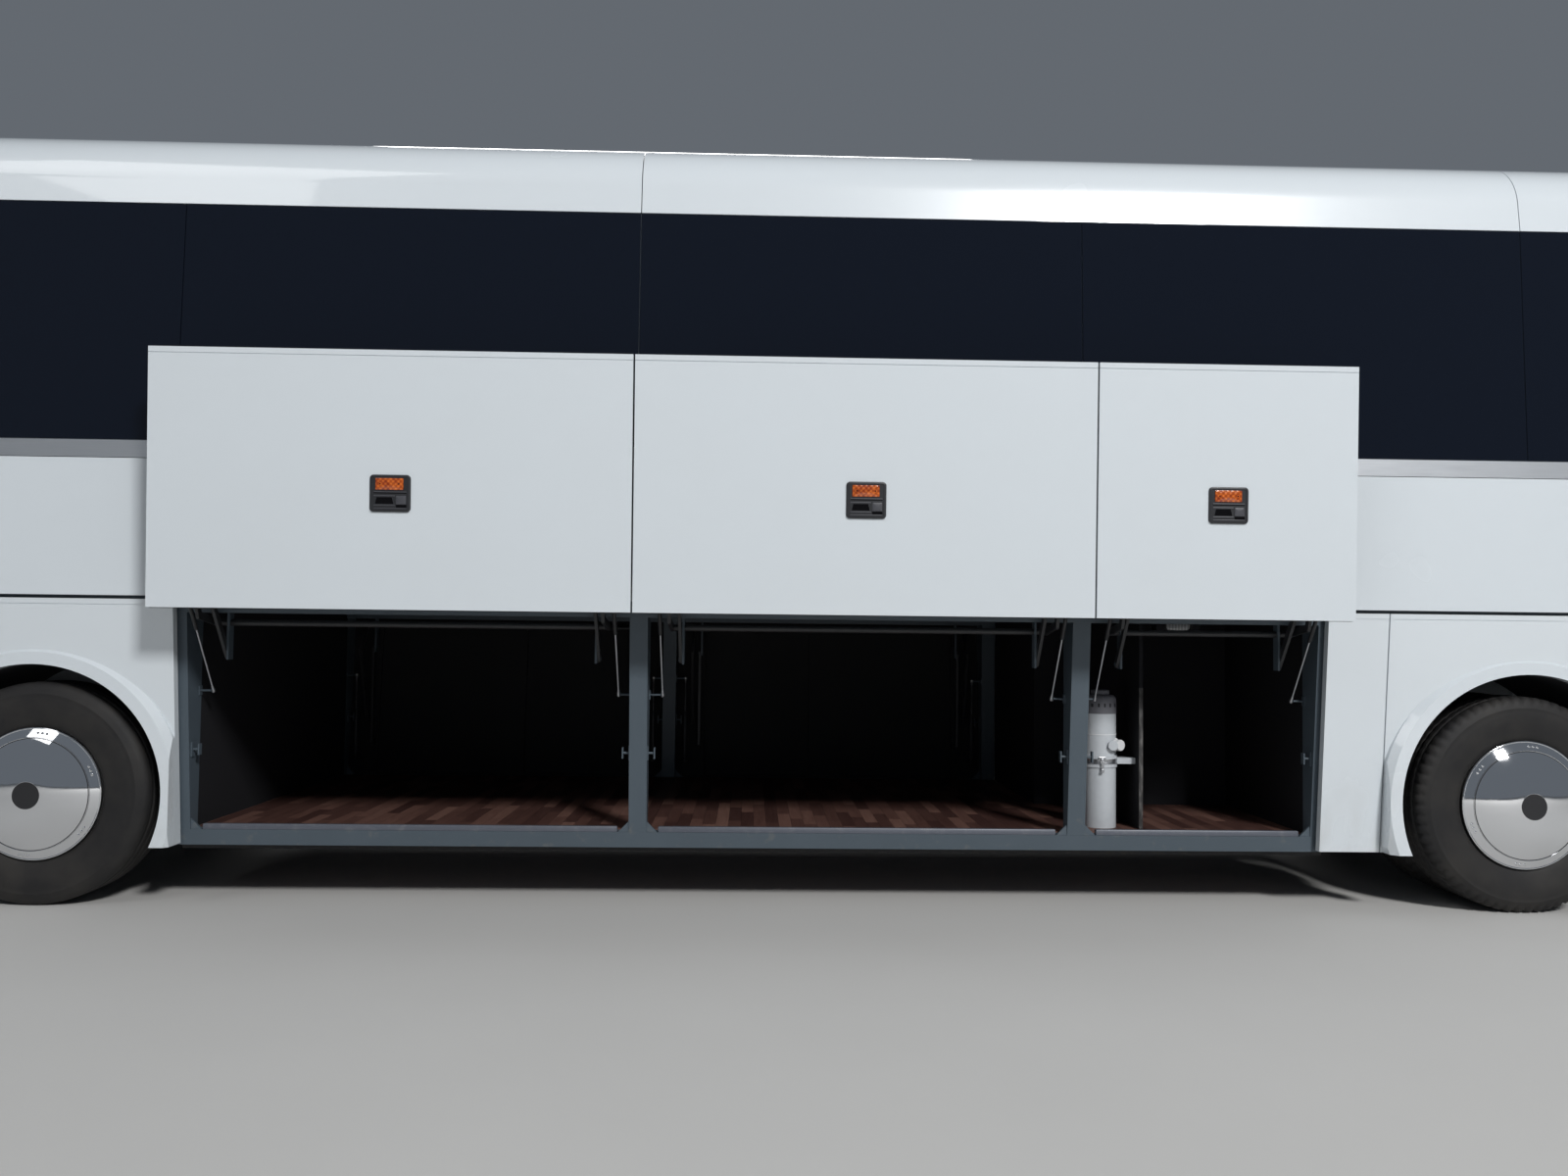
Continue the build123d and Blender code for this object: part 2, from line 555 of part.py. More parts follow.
# Side panels, glass and trim
LOWER = {
    -1: ((MASK_X, -4420, None), (-4420, BAY_X0, "front"), (BAY_X1, 2523, None), (2523, 3910, "rear"),
         (3910, TAIL_X, None)),
    1: ((MASK_X, -4420, None), (-4420, BAY_X0, "front"), (SPLIT_2, MID_DOOR[0] - 4, None),
        (MID_DOOR[1] + 4, 2523, None), (2523, 3910, "rear"), (3910, TAIL_X, None)),
}
ARCHES = {"front": (FRONT_AXLE_X, FRONT_ARCH_R), "rear": (REAR_AXLE_X, REAR_ARCH_R)}


def lower_panel(x0, x1, arch):
    """A fixed panel under the belt, with its arch and flared lip where a wheel stands."""
    left, right = x0 + JOINT / 2, x1 - JOINT / 2
    panel = wall(left, right, SKIRT_Z, DOOR_TOP, 0, PANEL)
    panel -= wall(left - 1, right + 1, DOOR_TOP - 27, DOOR_TOP - 24, -1, 3)
    if arch:
        x, radius = ARCHES[arch]
        lip = cyl_y(x, 1130, HALF - 14, TYRE_R, radius + FLARE_WIDTH)
        lip = chamfer(lip.edges().filter_by(GeomType.CIRCLE).sort_by(Axis.Y)[-1], 30)
        lip &= box(left, right, 1000, HALF + 10, SKIRT_Z, DOOR_TOP - 30)
        lip -= wall(left - 1, right + 1, SKIRT_Z - 10, DOOR_TOP, PANEL, 400)
        panel = panel + lip - cyl_y(x, 900, HALF + 50, TYRE_R, radius)
    return panel


panels = []
for side, rows in LOWER.items():
    for x0, x1, arch in rows:
        panel = lower_panel(x0, x1, arch)
        panels.append(panel if side > 0 else other_side(panel))
belt_spans = {-1: ((MASK_X, TAIL_X),), 1: ((MASK_X, MID_DOOR[0] - 1), (MID_DOOR[1] + 1, TAIL_X))}
for side, spans in belt_spans.items():
    for x0, x1 in spans:
        belt = wall(x0 + JOINT / 2, x1 - JOINT / 2, BELT_Z, TRIM_Z - 3, 0, PANEL)
        panels.append(belt if side > 0 else other_side(belt))
write("side_panels", panels)
strip = wall(MASK_X + JOINT / 2, TAIL_X - JOINT / 2, TRIM_Z, GLASS_Z - PANE_GAP, 0, SEAT_DEPTH)
write("trim_strips", both(strip))

panes = []
for x0, x1 in zip(SEAMS, SEAMS[1:]):
    panes += both(band(GLASS_SHELL, x0 + PANE_GAP / 2, x1 - PANE_GAP / 2, GLASS_Z, COVE_Z - PANE_GAP))

# Roof: three skins behind each other, with a low fairing and two hatches
roof = []
for x0, x1 in zip(ROOF_SEAMS, ROOF_SEAMS[1:]):
    roof.append(ROOF_SHELL & box(x0 + 2, x1 - 2, -HALF, HALF, COVE_Z, ROOF_TOP + 10))
fairing = loft([Plane.XY.offset(ROOF_TOP - 20) * RectangleRounded(2600, 1150, 120),
                Plane.XY.offset(ROOF_TOP + 95) * RectangleRounded(2380, 960, 110)])
roof[1] = roof[1] + Pos(1100, 0, 0) * fairing
for index, x in ((0, -3600), (2, 4550)):
    hatch = Pos(x, 0, ROOF_TOP + 5) * extrude(RectangleRounded(900, 640, 60), 40)
    roof[index] = roof[index] + Pos(0, 0, -25) * hatch
write("roof", roof)

# Front mask: bumper, headlamps, windscreen and driver's window
SCREEN = (1330, 3290, 1130)
SCREEN_X = FRONT_X + 657.5
DRIVER_WINDOW = (FRONT_X + 477.5, MASK_X, -HALF - 5, -900, 1900, COVE_Z)
LAMP_X = FRONT_X + 407.5
HEADLAMP = (700, 1190, 640, 850)
LAMP_GAP = 4
BUMPER_SPLIT = (597, 603)
TOW_SOCKET = (-420, 655)
TOW_BORE_R = 21
TOW_BORE_LENGTH = 160
TOW_TUBE_R = 36
TOW_HOLE_R = 46
front_zone = box(FRONT_X - 10, MASK_X - JOINT / 2, -HALF - 5, HALF + 5, SKIRT_Z, ROOF_TOP + 5)
mask = PANEL_SHELL & front_zone


def screen(inset):
    """The zone of the windscreen, inset from its rim."""
    low, high, half = SCREEN
    return box(FRONT_X - 10, SCREEN_X, inset - half, half - inset, low + inset, high - inset)


def driver_window(inset):
    """The zone of the driver's window, inset from its rim."""
    a, b, y0, y1, low, high = DRIVER_WINDOW
    return box(a + inset, b - inset, y0, y1, low + inset, high - inset)


def framed(x0, x1, y0, y1, z0, z1, side, inset):
    """A box on one side of the middle plane, inset in Y and Z."""
    return box(x0, x1, side * (y0 + inset), side * (y1 - inset), z0 + inset, z1 - inset)


mask -= REBATE & screen(0)
mask -= screen(REBATE_LIP)
windscreen = GLASS_SHELL & screen(PANE_GAP)
mask -= REBATE & driver_window(0)
mask -= driver_window(REBATE_LIP)
panes.append(GLASS_SHELL & driver_window(PANE_GAP))
door_x0, door_x1, door_z0, door_z1 = FRONT_DOOR
mask -= box(door_x0 - 6, door_x1 + 6, 900, HALF + 5, door_z0 - 10, door_z1 + 6)
lamps = []
for side in (-1, 1):
    mask -= framed(FRONT_X - 10, LAMP_X, *HEADLAMP, side, 0)
    lamps.append(LAMP_SHELL & framed(FRONT_X - 10, LAMP_X, *HEADLAMP, side, LAMP_GAP))
mask -= box(FRONT_X - 10, MASK_X, -HALF - 5, HALF + 5, *BUMPER_SPLIT)
mask -= cyl_x(FRONT_X - 10, FRONT_X + 120, *TOW_SOCKET, TOW_HOLE_R)
write("front_mask", mask)
write("windscreen", windscreen)

# Rear mask: lamps, rear window, bumper and the engine cover in its opening
tail = PANEL_SHELL & box(TAIL_X + JOINT / 2, REAR_X + 10, -HALF - 5, HALF + 5, SKIRT_Z, ROOF_TOP + 5)
TAIL_FACE_X = REAR_X - 257.5
REAR_WINDOW = (-900, 900, 2300, 3150)
TAIL_LAMP = (1010, 1200, 800, 1500)


def rear_window(inset):
    """The zone of the rear window, inset from its rim."""
    return framed(TAIL_FACE_X, REAR_X + 10, *REAR_WINDOW, 1, inset)


tail -= REBATE & rear_window(0)
tail -= rear_window(REBATE_LIP)
panes.append(GLASS_SHELL & rear_window(PANE_GAP))
COVER = (960, 640, 1860)
COVER_HINGE = (REAR_X + 2.5, COVER[2] + 5)
HINGE_PLACES = (-600, 600)
tail -= box(TAIL_FACE_X, REAR_X + 10, -COVER[0] - JOINT, COVER[0] + JOINT, COVER[1] - JOINT, COVER[2] + 10)
cover = PANEL_SHELL & box(TAIL_FACE_X, REAR_X + 10, -COVER[0], COVER[0], COVER[1], COVER[2])
for y in HINGE_PLACES:
    hinge_x, hinge_z = COVER_HINGE
    knuckle = cyl_y(hinge_x, y - 27, y + 27, hinge_z, 10) + box(hinge_x - 30, hinge_x + 4, y - 27, y + 27, hinge_z - 60, hinge_z)
    cover = cover + knuckle - cyl_y(hinge_x, y - 30, y + 30, hinge_z, 5 + RUNNING)
    tail += cyl_y(hinge_x, y - 40, y + 40, hinge_z, 5)
    for a, b in ((y - 40, y - 28), (y + 28, y + 40)):
        tail += cyl_y(hinge_x, a, b, hinge_z, 10) + box(hinge_x - 30, hinge_x + 4, a, b, hinge_z, hinge_z + 60)
for side in (-1, 1):
    tail -= framed(TAIL_FACE_X, REAR_X + 10, *TAIL_LAMP, side, 0)
    lamps.append(LAMP_SHELL & framed(TAIL_FACE_X, REAR_X + 10, *TAIL_LAMP, side, LAMP_GAP))
write("rear_mask", tail)
write("engine_cover", cover)
write("window_glass", panes)
write("lamps", lamps)


# Underframe: the grid under the bays and the rails that carry the axles and the engine
GRID_Z1 = FLOOR_Z
RAIL_Y = (380, 460)
FRONT_RAIL_Z = (560, 700)
REAR_RAIL_Z = (640, 780)
END_PLATE = 12
grid_x0, grid_x1 = PILLARS[0][0], PILLARS[3][1]
front_rails, rear_rails = [], []
grid = [box(grid_x0, grid_x1, y0, y1, UNDER_Z, GRID_Z1)
        for y0, y1 in ((-SILL_INNER_Y, -960), (-360, -300), (300, 360), (960, SILL_INNER_Y))]
for x in (grid_x0 + 30, -2550, -2030, -1500, -979, -450, 80, 600, 1091, 1650, grid_x1 - 30):
    grid.append(box(x - 30, x + 30, -1000, 1000, UNDER_Z, GRID_Z1))
for side in (-1, 1):
    y0, y1 = (side * y for y in RAIL_Y)
    front_rails.append(box(FRONT_X + 260, grid_x0 + 10, y0, y1, *FRONT_RAIL_Z))
    rear_rails.append(box(grid_x1 - 10, REAR_X - 180, y0, y1, *REAR_RAIL_Z))
    front_rails.append(box(grid_x0, grid_x0 + END_PLATE, y0, y1, GRID_Z1 + FIT, FRONT_RAIL_Z[1]))
    rear_rails.append(box(grid_x1 - END_PLATE, grid_x1, y0, y1, GRID_Z1 + FIT, REAR_RAIL_Z[1]))
for x in (FRONT_X + 300, MASK_X - 10, -4420):
    front_rails.append(box(x - 40, x + 40, -RAIL_Y[0] - 10, RAIL_Y[0] + 10, FRONT_RAIL_Z[0] + 20, FRONT_RAIL_Z[1] - 20))
for x in (2620, 3900, 4560, REAR_X - 220):
    rear_rails.append(box(x - 40, x + 40, -RAIL_Y[0] - 10, RAIL_Y[0] + 10, REAR_RAIL_Z[0] + 20, REAR_RAIL_Z[1] - 20))
for x0, x1 in HANGERS:
    rails, (z0, z1) = (front_rails, FRONT_RAIL_Z) if x0 < 0 else (rear_rails, REAR_RAIL_Z)
    for side in (-1, 1):
        rails.append(box(x0 + 10, x1 - 10, side * RAIL_Y[0], side * HANGER_INNER_Y, z0 + 30, z1 - 30))
tow_x0, tow_x1 = FRONT_X + 50, FRONT_X + 262
front_rails.append(cyl_x(tow_x0, tow_x1, *TOW_SOCKET, TOW_TUBE_R))
front_rails = fused(front_rails) - cyl_x(tow_x0 - 5, tow_x0 + TOW_BORE_LENGTH, *TOW_SOCKET, TOW_BORE_R)
write("underframe", fused(grid), front_rails, fused(rear_rails))

# Floors: boards of the bays, the cabin floor, the driver's platform and both stairs
CABIN_Y = HALF - PANEL - POST_DEPTH
PLATFORM_X = (FRONT_X + 257.5, -4700)
PLATFORM_Z = 1000
PLATFORM_THICK = 40
STEP_SHEET = 25
MID_STEPS = (MID_DOOR[0] - 2, MID_DOOR[1] + 2, (800, 600, 400, 200, 0))
FRONT_STEPS = (FRONT_DOOR[0] + 50, FRONT_DOOR[1] - 20, (860, 620, 380))
BAY_TOP = FLOOR_Z + FLOOR_THICK
PORCH_Y = 1110


def stairs(x0, x1, risers, z0, z1, under):
    """Steps of folded sheet that climb inwards, each on the back of the one below it."""
    rise = (z1 - z0) / len(risers)
    steps = []
    for step, (y, behind) in enumerate(zip(risers, risers[1:])):
        low, high = z0 + step * rise + FIT, z0 + (step + 1) * rise
        back = behind - STEP_SHEET
        steps.append(prism([(y, low), (y, high), (back, high), (back, high - STEP_SHEET),
                            (y - STEP_SHEET, high - STEP_SHEET), (y - STEP_SHEET, low)], x0, x1))
    steps.append(box(x0, x1, risers[-1] - STEP_SHEET, risers[-1], z1 - rise + FIT, under - FIT))
    return steps


def deck(x0, x1, half, z0, z1, well):
    """A floor of three boards around a stairwell."""
    well_x0, well_x1, risers = well
    return [box(x0, well_x0 - FIT, -half, half, z0, z1), box(well_x0, well_x1, -half, risers[-1], z0, z1),
            box(well_x1 + FIT, x1, -half, half, z0, z1)]


cabin_top = CABIN_Z + CABIN_THICK
platform_top = PLATFORM_Z + PLATFORM_THICK
cabin = deck(PLATFORM_X[1], TAIL_X - 35, CABIN_Y, CABIN_Z, cabin_top, MID_STEPS)
riser = box(PLATFORM_X[1] + FIT, PLATFORM_X[1] + 30, 5 - PILLAR_INNER_Y, PILLAR_INNER_Y - 5, PLATFORM_Z, CABIN_Z - FIT)
platform = deck(*PLATFORM_X, HANGER_INNER_Y, PLATFORM_Z, platform_top, FRONT_STEPS)
bay_floor = box(PILLARS[0][0] + 15, PILLARS[3][1] - 15, -SILL_INNER_Y, SILL_INNER_Y, FLOOR_Z, BAY_TOP)
porches = [box(*MID_STEPS[:2], SILL_INNER_Y + FIT, PORCH_Y, FLOOR_Z, BAY_TOP),
           box(*FRONT_STEPS[:2], FRONT_STEPS[2][0] - STEP_SHEET, PORCH_Y, FLOOR_Z, BAY_TOP)]
mid_stairs = stairs(*MID_STEPS, BAY_TOP, cabin_top, CABIN_Z)
front_stairs = stairs(*FRONT_STEPS, BAY_TOP, platform_top, PLATFORM_Z)
write("floors", bay_floor, cabin, riser, platform, porches, mid_stairs, front_stairs)

# Bay lining: bulkheads, ceiling, partition, stair walls and wheel arch liners
PARTITION_X = (1445, 1463)
LINING = 8
BULKHEAD = 15
MIDDLE_Y = (-72, -60)
lining = []
for face, out in ((PILLARS[0][1], -1), (PILLARS[3][0] + FIT, 1)):
    a, b = sorted((face, face + out * BULKHEAD))
    lining.append(fused([box(a, b, -PILLAR_INNER_Y, PILLAR_INNER_Y, BAY_TOP, CEILING[1]),
                         box(a, b, -SILL_INNER_Y, SILL_INNER_Y, BAY_TOP, RAIL_Z)]))
lining += [
    box(PILLARS[0][1] + FIT, PILLARS[3][0], -PILLAR_INNER_Y, MIDDLE_Y[0] - FIT, *CEILING),
    box(PILLARS[0][1] + FIT, PILLARS[2][1] - FIT, MIDDLE_Y[0], PILLAR_INNER_Y, *CEILING),
    box(*PARTITION_X, -950, MIDDLE_Y[0] - FIT, BAY_TOP, CEILING[0] - FIT),
    box(PILLARS[2][1], PILLARS[3][0], *MIDDLE_Y, BAY_TOP, CEILING[1]),
    box(PILLARS[2][1], PILLARS[2][1] + LINING, MIDDLE_Y[1] + FIT, PILLAR_INNER_Y, BAY_TOP, CEILING[1]),
    box(PILLARS[3][0] - LINING, PILLARS[3][0], MIDDLE_Y[1] + FIT, PILLAR_INNER_Y, BAY_TOP, CEILING[1]),
]
liners = []
for x, radius in ARCHES.values():
    liner = cyl_y(x, 560, HALF, TYRE_R, radius + 2) - cyl_y(x, 550, HALF + 5, TYRE_R, radius - 2)
    liner &= box(x - 700, x + 700, 500, HALF, SILL_TOP, 1400)
    liner -= wall(x - 700, x + 700, 200, 1400, -120, PANEL)
    liners += both(liner)
write("bay_lining", lining, liners)

# Front axle beam and rear axle housing with their air springs
BEAM_Z = (405, 475)
FIST_Z = (455, 565)
FORK_SWEEP_Y = KINGPIN_Y - 68
front_axle = [
    box(FRONT_AXLE_X - 55, FRONT_AXLE_X + 55, -820, 820, *BEAM_Z),
    cyl_z(FRONT_AXLE_X, KINGPIN_Y, *FIST_Z, 45) + box(FRONT_AXLE_X - 50, FRONT_AXLE_X + 50, 800, FORK_SWEEP_Y, 405, 560)
    + box(FRONT_AXLE_X - 40, FRONT_AXLE_X + 40, FORK_SWEEP_Y - 10, 910, *FIST_Z),
]
front_axle.append(other_side(front_axle[1]))
for side in (-1, 1):
    front_axle.append(cyl_z(FRONT_AXLE_X, side * 420, BEAM_Z[1] - 5, FRONT_RAIL_Z[0], 105))
    front_axle.append(box(FRONT_AXLE_X - 20, FRONT_AXLE_X + 20, side * 420 - 15, side * 420 + 15, *BEAM_Z))
front_axle = fused(front_axle)
for side in (-1, 1):
    front_axle -= cyl_z(FRONT_AXLE_X, side * KINGPIN_Y, 440, 580, KINGPIN_R + RUNNING)
REAR_HUB_R = 60
rear_axle = [
    cyl_y(REAR_AXLE_X, -610, 610, TYRE_R, 72),
    Pos(REAR_AXLE_X, 0, TYRE_R) * Sphere(190),
    cyl_y(REAR_AXLE_X, -1095, 1095, TYRE_R, REAR_HUB_R),
]
for side in (-1, 1):
    rear_axle.append(box(REAR_AXLE_X - 330, REAR_AXLE_X + 330, side * 370, side * 470, 380, 440))
    rear_axle.append(box(REAR_AXLE_X - 60, REAR_AXLE_X + 60, side * 370, side * 470, 430, 520))
    for offset in (-260, 260):
        rear_axle.append(cyl_z(REAR_AXLE_X + offset, side * 420, 435, REAR_RAIL_Z[0], 95))
write("axles", front_axle, fused(rear_axle))

# Tyres and wheels, each turned about its own axle. Profiles are (radius, outboard)
TYRE_HALF = ((RIM_R + 1, 60), (RIM_R + 1, 103), (RIM_R + 14, 107), (RIM_R + 16, 122), (352, 140),
             (410, TYRE_WIDTH / 2), (462, 143), (492, 131), (507, 112), (TYRE_R, 90))
TYRE_INSIDE = ((488, 88), (472, 118), (410, 134), (352, 126), (RIM_R + 26, 104), (RIM_R + 14, 60))
RIM_HALF = ((RIM_R, 105), (RIM_R + 12, 109), (RIM_R + 12, 120), (RIM_R - RIM_WALL, 120), (RIM_R - RIM_WALL, 100))
CAP_BASE = 119
CAP_SKIRT = 20
CAP_WALL = 5
DISH = ((RIM_R - RIM_WALL, 100), (250, 151), (0, 151), (0, TWIN_PITCH / 2), (262, TWIN_PITCH / 2), (RIM_R - 2, 104))
STUB_R = 40
KNUCKLE_Y = 1012
DRUM_R = 205


def spun(profile, y):
    """A closed (radius, outboard) profile turned about the line X = 0 at the height of the axle."""
    return Pos(0, y, TYRE_R) * revolve(make_face(Polyline(*profile, close=True)), Axis.Y)


def tyre(y):
    """A hollow tyre whose middle lies at y."""
    outline = TYRE_HALF + tuple((r, -w) for r, w in TYRE_HALF[::-1])
    inside = TYRE_INSIDE + tuple((r, -w) for r, w in TYRE_INSIDE[::-1])
    return spun(outline, y) - spun(inside, y)


def barrel(y):
    """A rim's barrel with both its flanges."""
    return spun(RIM_HALF + tuple((r, -w) for r, w in RIM_HALF[::-1]), y)


def cap(y):
    """A domed wheel trim with a flat centre disc."""
    skirt, crown = CAP_BASE + CAP_SKIRT, CAP_BASE + CAP_SKIRT + CAP_RISE
    middle = skirt + 0.62 * CAP_RISE
    face = make_face(Curve() + [
        Polyline((CAP_R, CAP_BASE), (CAP_R, skirt)),
        ThreePointArc((CAP_R, skirt), (200, middle), (CAP_DISC_R, crown)),
        Polyline((CAP_DISC_R, crown), (0, crown), (0, crown - CAP_WALL), (CAP_DISC_R, crown - CAP_WALL)),
        ThreePointArc((CAP_DISC_R, crown - CAP_WALL), (197, middle - CAP_WALL), (CAP_R - CAP_WALL, skirt - CAP_WALL)),
        Polyline((CAP_R - CAP_WALL, skirt - CAP_WALL), (CAP_R - CAP_WALL, CAP_BASE), (CAP_R, CAP_BASE)),
    ])
    return Pos(0, y, TYRE_R) * revolve(face, Axis.Y)


def front_wheel():
    """Rim, disc, drum and hub of a front wheel, bored for its stub axle."""
    disc = WHEEL_Y + 50
    wheel = barrel(WHEEL_Y) + cyl_y(0, disc - 7, disc + 7, TYRE_R, RIM_R - 4)
    wheel += cyl_y(0, KNUCKLE_Y + 6, WHEEL_Y + 90, TYRE_R, HUB_R) + cyl_y(0, KNUCKLE_Y + 6, KNUCKLE_Y + 56, TYRE_R, DRUM_R)
    return wheel + cap(WHEEL_Y) - cyl_y(0, KNUCKLE_Y, disc + 10, TYRE_R, STUB_R + RUNNING)


def rear_wheel():
    """The twin rims of one rear hub, their dished discs back to back."""
    inner = WHEEL_Y - TWIN_PITCH
    wheel = barrel(WHEEL_Y) + spun([(r, -w) for r, w in DISH], WHEEL_Y) + barrel(inner) + spun(DISH, inner)
    wheel += cyl_y(0, inner + TWIN_PITCH / 2 - 5, WHEEL_Y + 90, TYRE_R, HUB_R) + cyl_y(0, 640, 895, TYRE_R, DRUM_R)
    return wheel + cap(WHEEL_Y) - cyl_y(0, 600, 1100, TYRE_R, REAR_HUB_R + RUNNING)


for end, x, wheel, places in (("front", FRONT_AXLE_X, front_wheel(), (WHEEL_Y,)),
                              ("rear", REAR_AXLE_X, rear_wheel(), (WHEEL_Y, WHEEL_Y - TWIN_PITCH))):
    wheel = Pos(x, 0, 0) * wheel
    tyres = [Pos(x, 0, 0) * tyre(y) for y in places]
    write(f"tyre_{end}_right", tyres)
    write(f"tyre_{end}_left", [other_side(t) for t in tyres])
    write(f"wheel_{end}_right", wheel)
    write(f"wheel_{end}_left", other_side(wheel))

# Steering knuckles: kingpin, fork and stub axle
knuckle = fused([
    cyl_z(FRONT_AXLE_X, KINGPIN_Y, 405, 615, KINGPIN_R),
    box(FRONT_AXLE_X - 45, FRONT_AXLE_X + 45, KINGPIN_Y - 40, KNUCKLE_Y, 400, 449),
    box(FRONT_AXLE_X - 45, FRONT_AXLE_X + 45, KINGPIN_Y - 40, KNUCKLE_Y, 571, 620),
    box(FRONT_AXLE_X - 45, FRONT_AXLE_X + 45, KNUCKLE_Y - 20, KNUCKLE_Y, 400, 620),
    cyl_y(FRONT_AXLE_X, KNUCKLE_Y - 5, WHEEL_Y + 50, TYRE_R, STUB_R),
])
write("knuckle_right", knuckle)
write("knuckle_left", other_side(knuckle))

# Dashboard with its steering column, and the steering wheel tilted towards the driver
STEERING = (FRONT_X + 627.5, -650, 1850)
DASH_X = (FRONT_X + 222.5, FRONT_X + 572.5)
COLUMN_LEAN = 28
DASH_TOP = 1600
dash = box(*DASH_X, -1120, 1120, platform_top, DASH_TOP) & envelope(PANEL + 30)
dash += box(DASH_X[0] + 100, DASH_X[1] - 15, -940, -360, DASH_TOP - 5, DASH_TOP + 90)
column = Pos(*STEERING) * Rot(0, COLUMN_LEAN, 0) * Pos(0, 0, -165) * Cylinder(28, 250)
stub = Pos(*STEERING) * Rot(0, COLUMN_LEAN, 0) * Pos(0, 0, -35) * Cylinder(14, 50)
write("dashboard", fused([dash, column, stub, box(DASH_X[0] + 235, DASH_X[1], -700, -600, DASH_TOP - 40, DASH_TOP + 40)]))
rim_ring = Torus(215, 15)
spokes = [Rot(0, 0, a) * Pos(110, 0, -8) * Box(210, 36, 14) for a in (0, 120, 240)]
steering_wheel = fused([rim_ring, Pos(0, 0, -10) * Cylinder(60, 50)] + spokes)
steering_wheel -= Pos(0, 0, -30) * Cylinder(14 + RUNNING, 50)
write("steering_wheel", Pos(*STEERING) * Rot(0, COLUMN_LEAN, 0) * steering_wheel)

# Seats: double seats in rows on the cabin floor and the driver's seat on the platform
SEAT_PITCH = 830
SEAT_FIRST = -4250
SEAT_WIDE = 440
DRIVER_X = FRONT_X + 1137.5


def seat(x, z, y0, y1, width):
    """Pedestal, cushions and leaning backs of the seats between y0 and y1."""
    pieces = [box(x - 160, x + 160, y0 + 120, y1 - 120, z, z + 330)]
    count = round((y1 - y0) / width)
    for place in range(count):
        a = y0 + place * width + 10
        pieces.append(box(x - 240, x + 240, a, a + width - 20, z + 320, z + 450))
        back = [(x + 170, z + 380), (x + 270, z + 380), (x + 460, z + 1130), (x + 380, z + 1160), (x + 340, z + 1130)]
        face = make_face(Polyline(*back, close=True))
        pieces.append(extrude(Plane.XZ.offset(-a) * face, -(width - 20)))
    pieces.append(box(x - 100, x + 240, y0 + 10, y1 - 10, z + 325, z + 345))
    return fused(pieces)


seats = []
for row in range(12):
    x = SEAT_FIRST + row * SEAT_PITCH
    seats.append(seat(x, cabin_top, -1130, -250, SEAT_WIDE))
    if not MID_STEPS[0] - 500 < x < MID_STEPS[1] + 260:
        seats.append(seat(x, cabin_top, 250, 1130, SEAT_WIDE))
seats.append(seat(DRIVER_X, platform_top, -900, -400, 500))
write("seats", seats)

# Mirrors on arms from the corners of the roof, and the wipers parked under the windscreen
MIRROR = (FRONT_X + 12.5, 1420, 2720)
MIRROR_ROOT_X = FRONT_X + 547.5
mirror_side = fused([
    Pos(*MIRROR) * Box(110, 250, 430),
    Pos(MIRROR[0] + 30, MIRROR[1], MIRROR[2] + 250) * Cylinder(16, 110),
    extrude(Plane.XY.offset(MIRROR[2] + 280) * make_face(Polyline(
        (MIRROR[0] + 10, MIRROR[1] + 20), (MIRROR[0] + 50, MIRROR[1] + 20), (MIRROR_ROOT_X, 1240), (MIRROR_ROOT_X, 1170),
        (MIRROR_ROOT_X - 50, 1170), (MIRROR_ROOT_X - 50, 1190), (MIRROR[0] + 10, MIRROR[1] - 20), close=True)), 40),
]) - OUTER
write("mirrors", mirror_side, other_side(mirror_side))
WIPER_GAP = 3
WIPER_OUT = 24
WIPER_PIVOTS = ((-60, -620), (900, 340))
wiper_space = envelope(-WIPER_OUT)
wipe_shell = wiper_space - envelope(-WIPER_GAP)
wipers = []
for pivot, middle in WIPER_PIVOTS:
    sweep = []
    for (y0, z0), (y1, z1), half in (((pivot, 1290), (middle, 1430), 13), ((middle - 440, 1400), (middle + 440, 1460), 14)):
        sweep.append(extrude(Plane.YZ.offset(FRONT_X - 40) * make_face(Polyline(
            (y0, z0 - half), (y1, z1 - half), (y1, z1 + half), (y0, z0 + half), close=True)), 500))
    foot = cyl_x(FRONT_X - 40, FRONT_X + 200, pivot, 1290, 22)
    wipers.append(fused([fused(sweep) & wipe_shell, foot & wiper_space - OUTER]))
write("wipers", wipers)

# Engine with gearbox, hung between the rear rails
ENGINE = (REAR_X - 1227.5, REAR_X - 327.5, 340, 520, 1230)
GEARBOX_LENGTH = 620
engine_x0, engine_x1, engine_y, engine_z0, engine_z1 = ENGINE
engine = [
    box(engine_x0, engine_x1, -engine_y, engine_y, engine_z0 + 160, engine_z1 - 160),
    box(engine_x0 + 60, engine_x1 - 60, -220, 220, engine_z0, engine_z1),
    cyl_x(engine_x0 - GEARBOX_LENGTH, engine_x0 + 20, 0, 800, 210),
]
for x in (engine_x0 + 150, engine_x1 - 150):
    engine.append(box(x - 50, x + 50, -RAIL_Y[0], RAIL_Y[0], REAR_RAIL_Z[0] + 40, REAR_RAIL_Z[1] - 20))
write("engine", fused(engine))

# Vacuum canister that stands in the third bay, held to the partition
CANISTER = (1277, -860, 78)
can_x, can_y, can_r = CANISTER
canister = [
    cyl_z(can_x, can_y, BAY_TOP, 906, can_r),
    cyl_z(can_x, can_y, 900, 990, 66),
    cyl_z(can_x, can_y, 985, 1015, 40),
    cyl_z(can_x, can_y, 640, 700, can_r + 5),
    cyl_y(can_x + 40, can_y - 95, can_y - 20, 750, 24),
    box(can_x, PARTITION_X[0], can_y - 30, can_y + 30, 655, 685),
]
write("vacuum_canister", fused(canister))


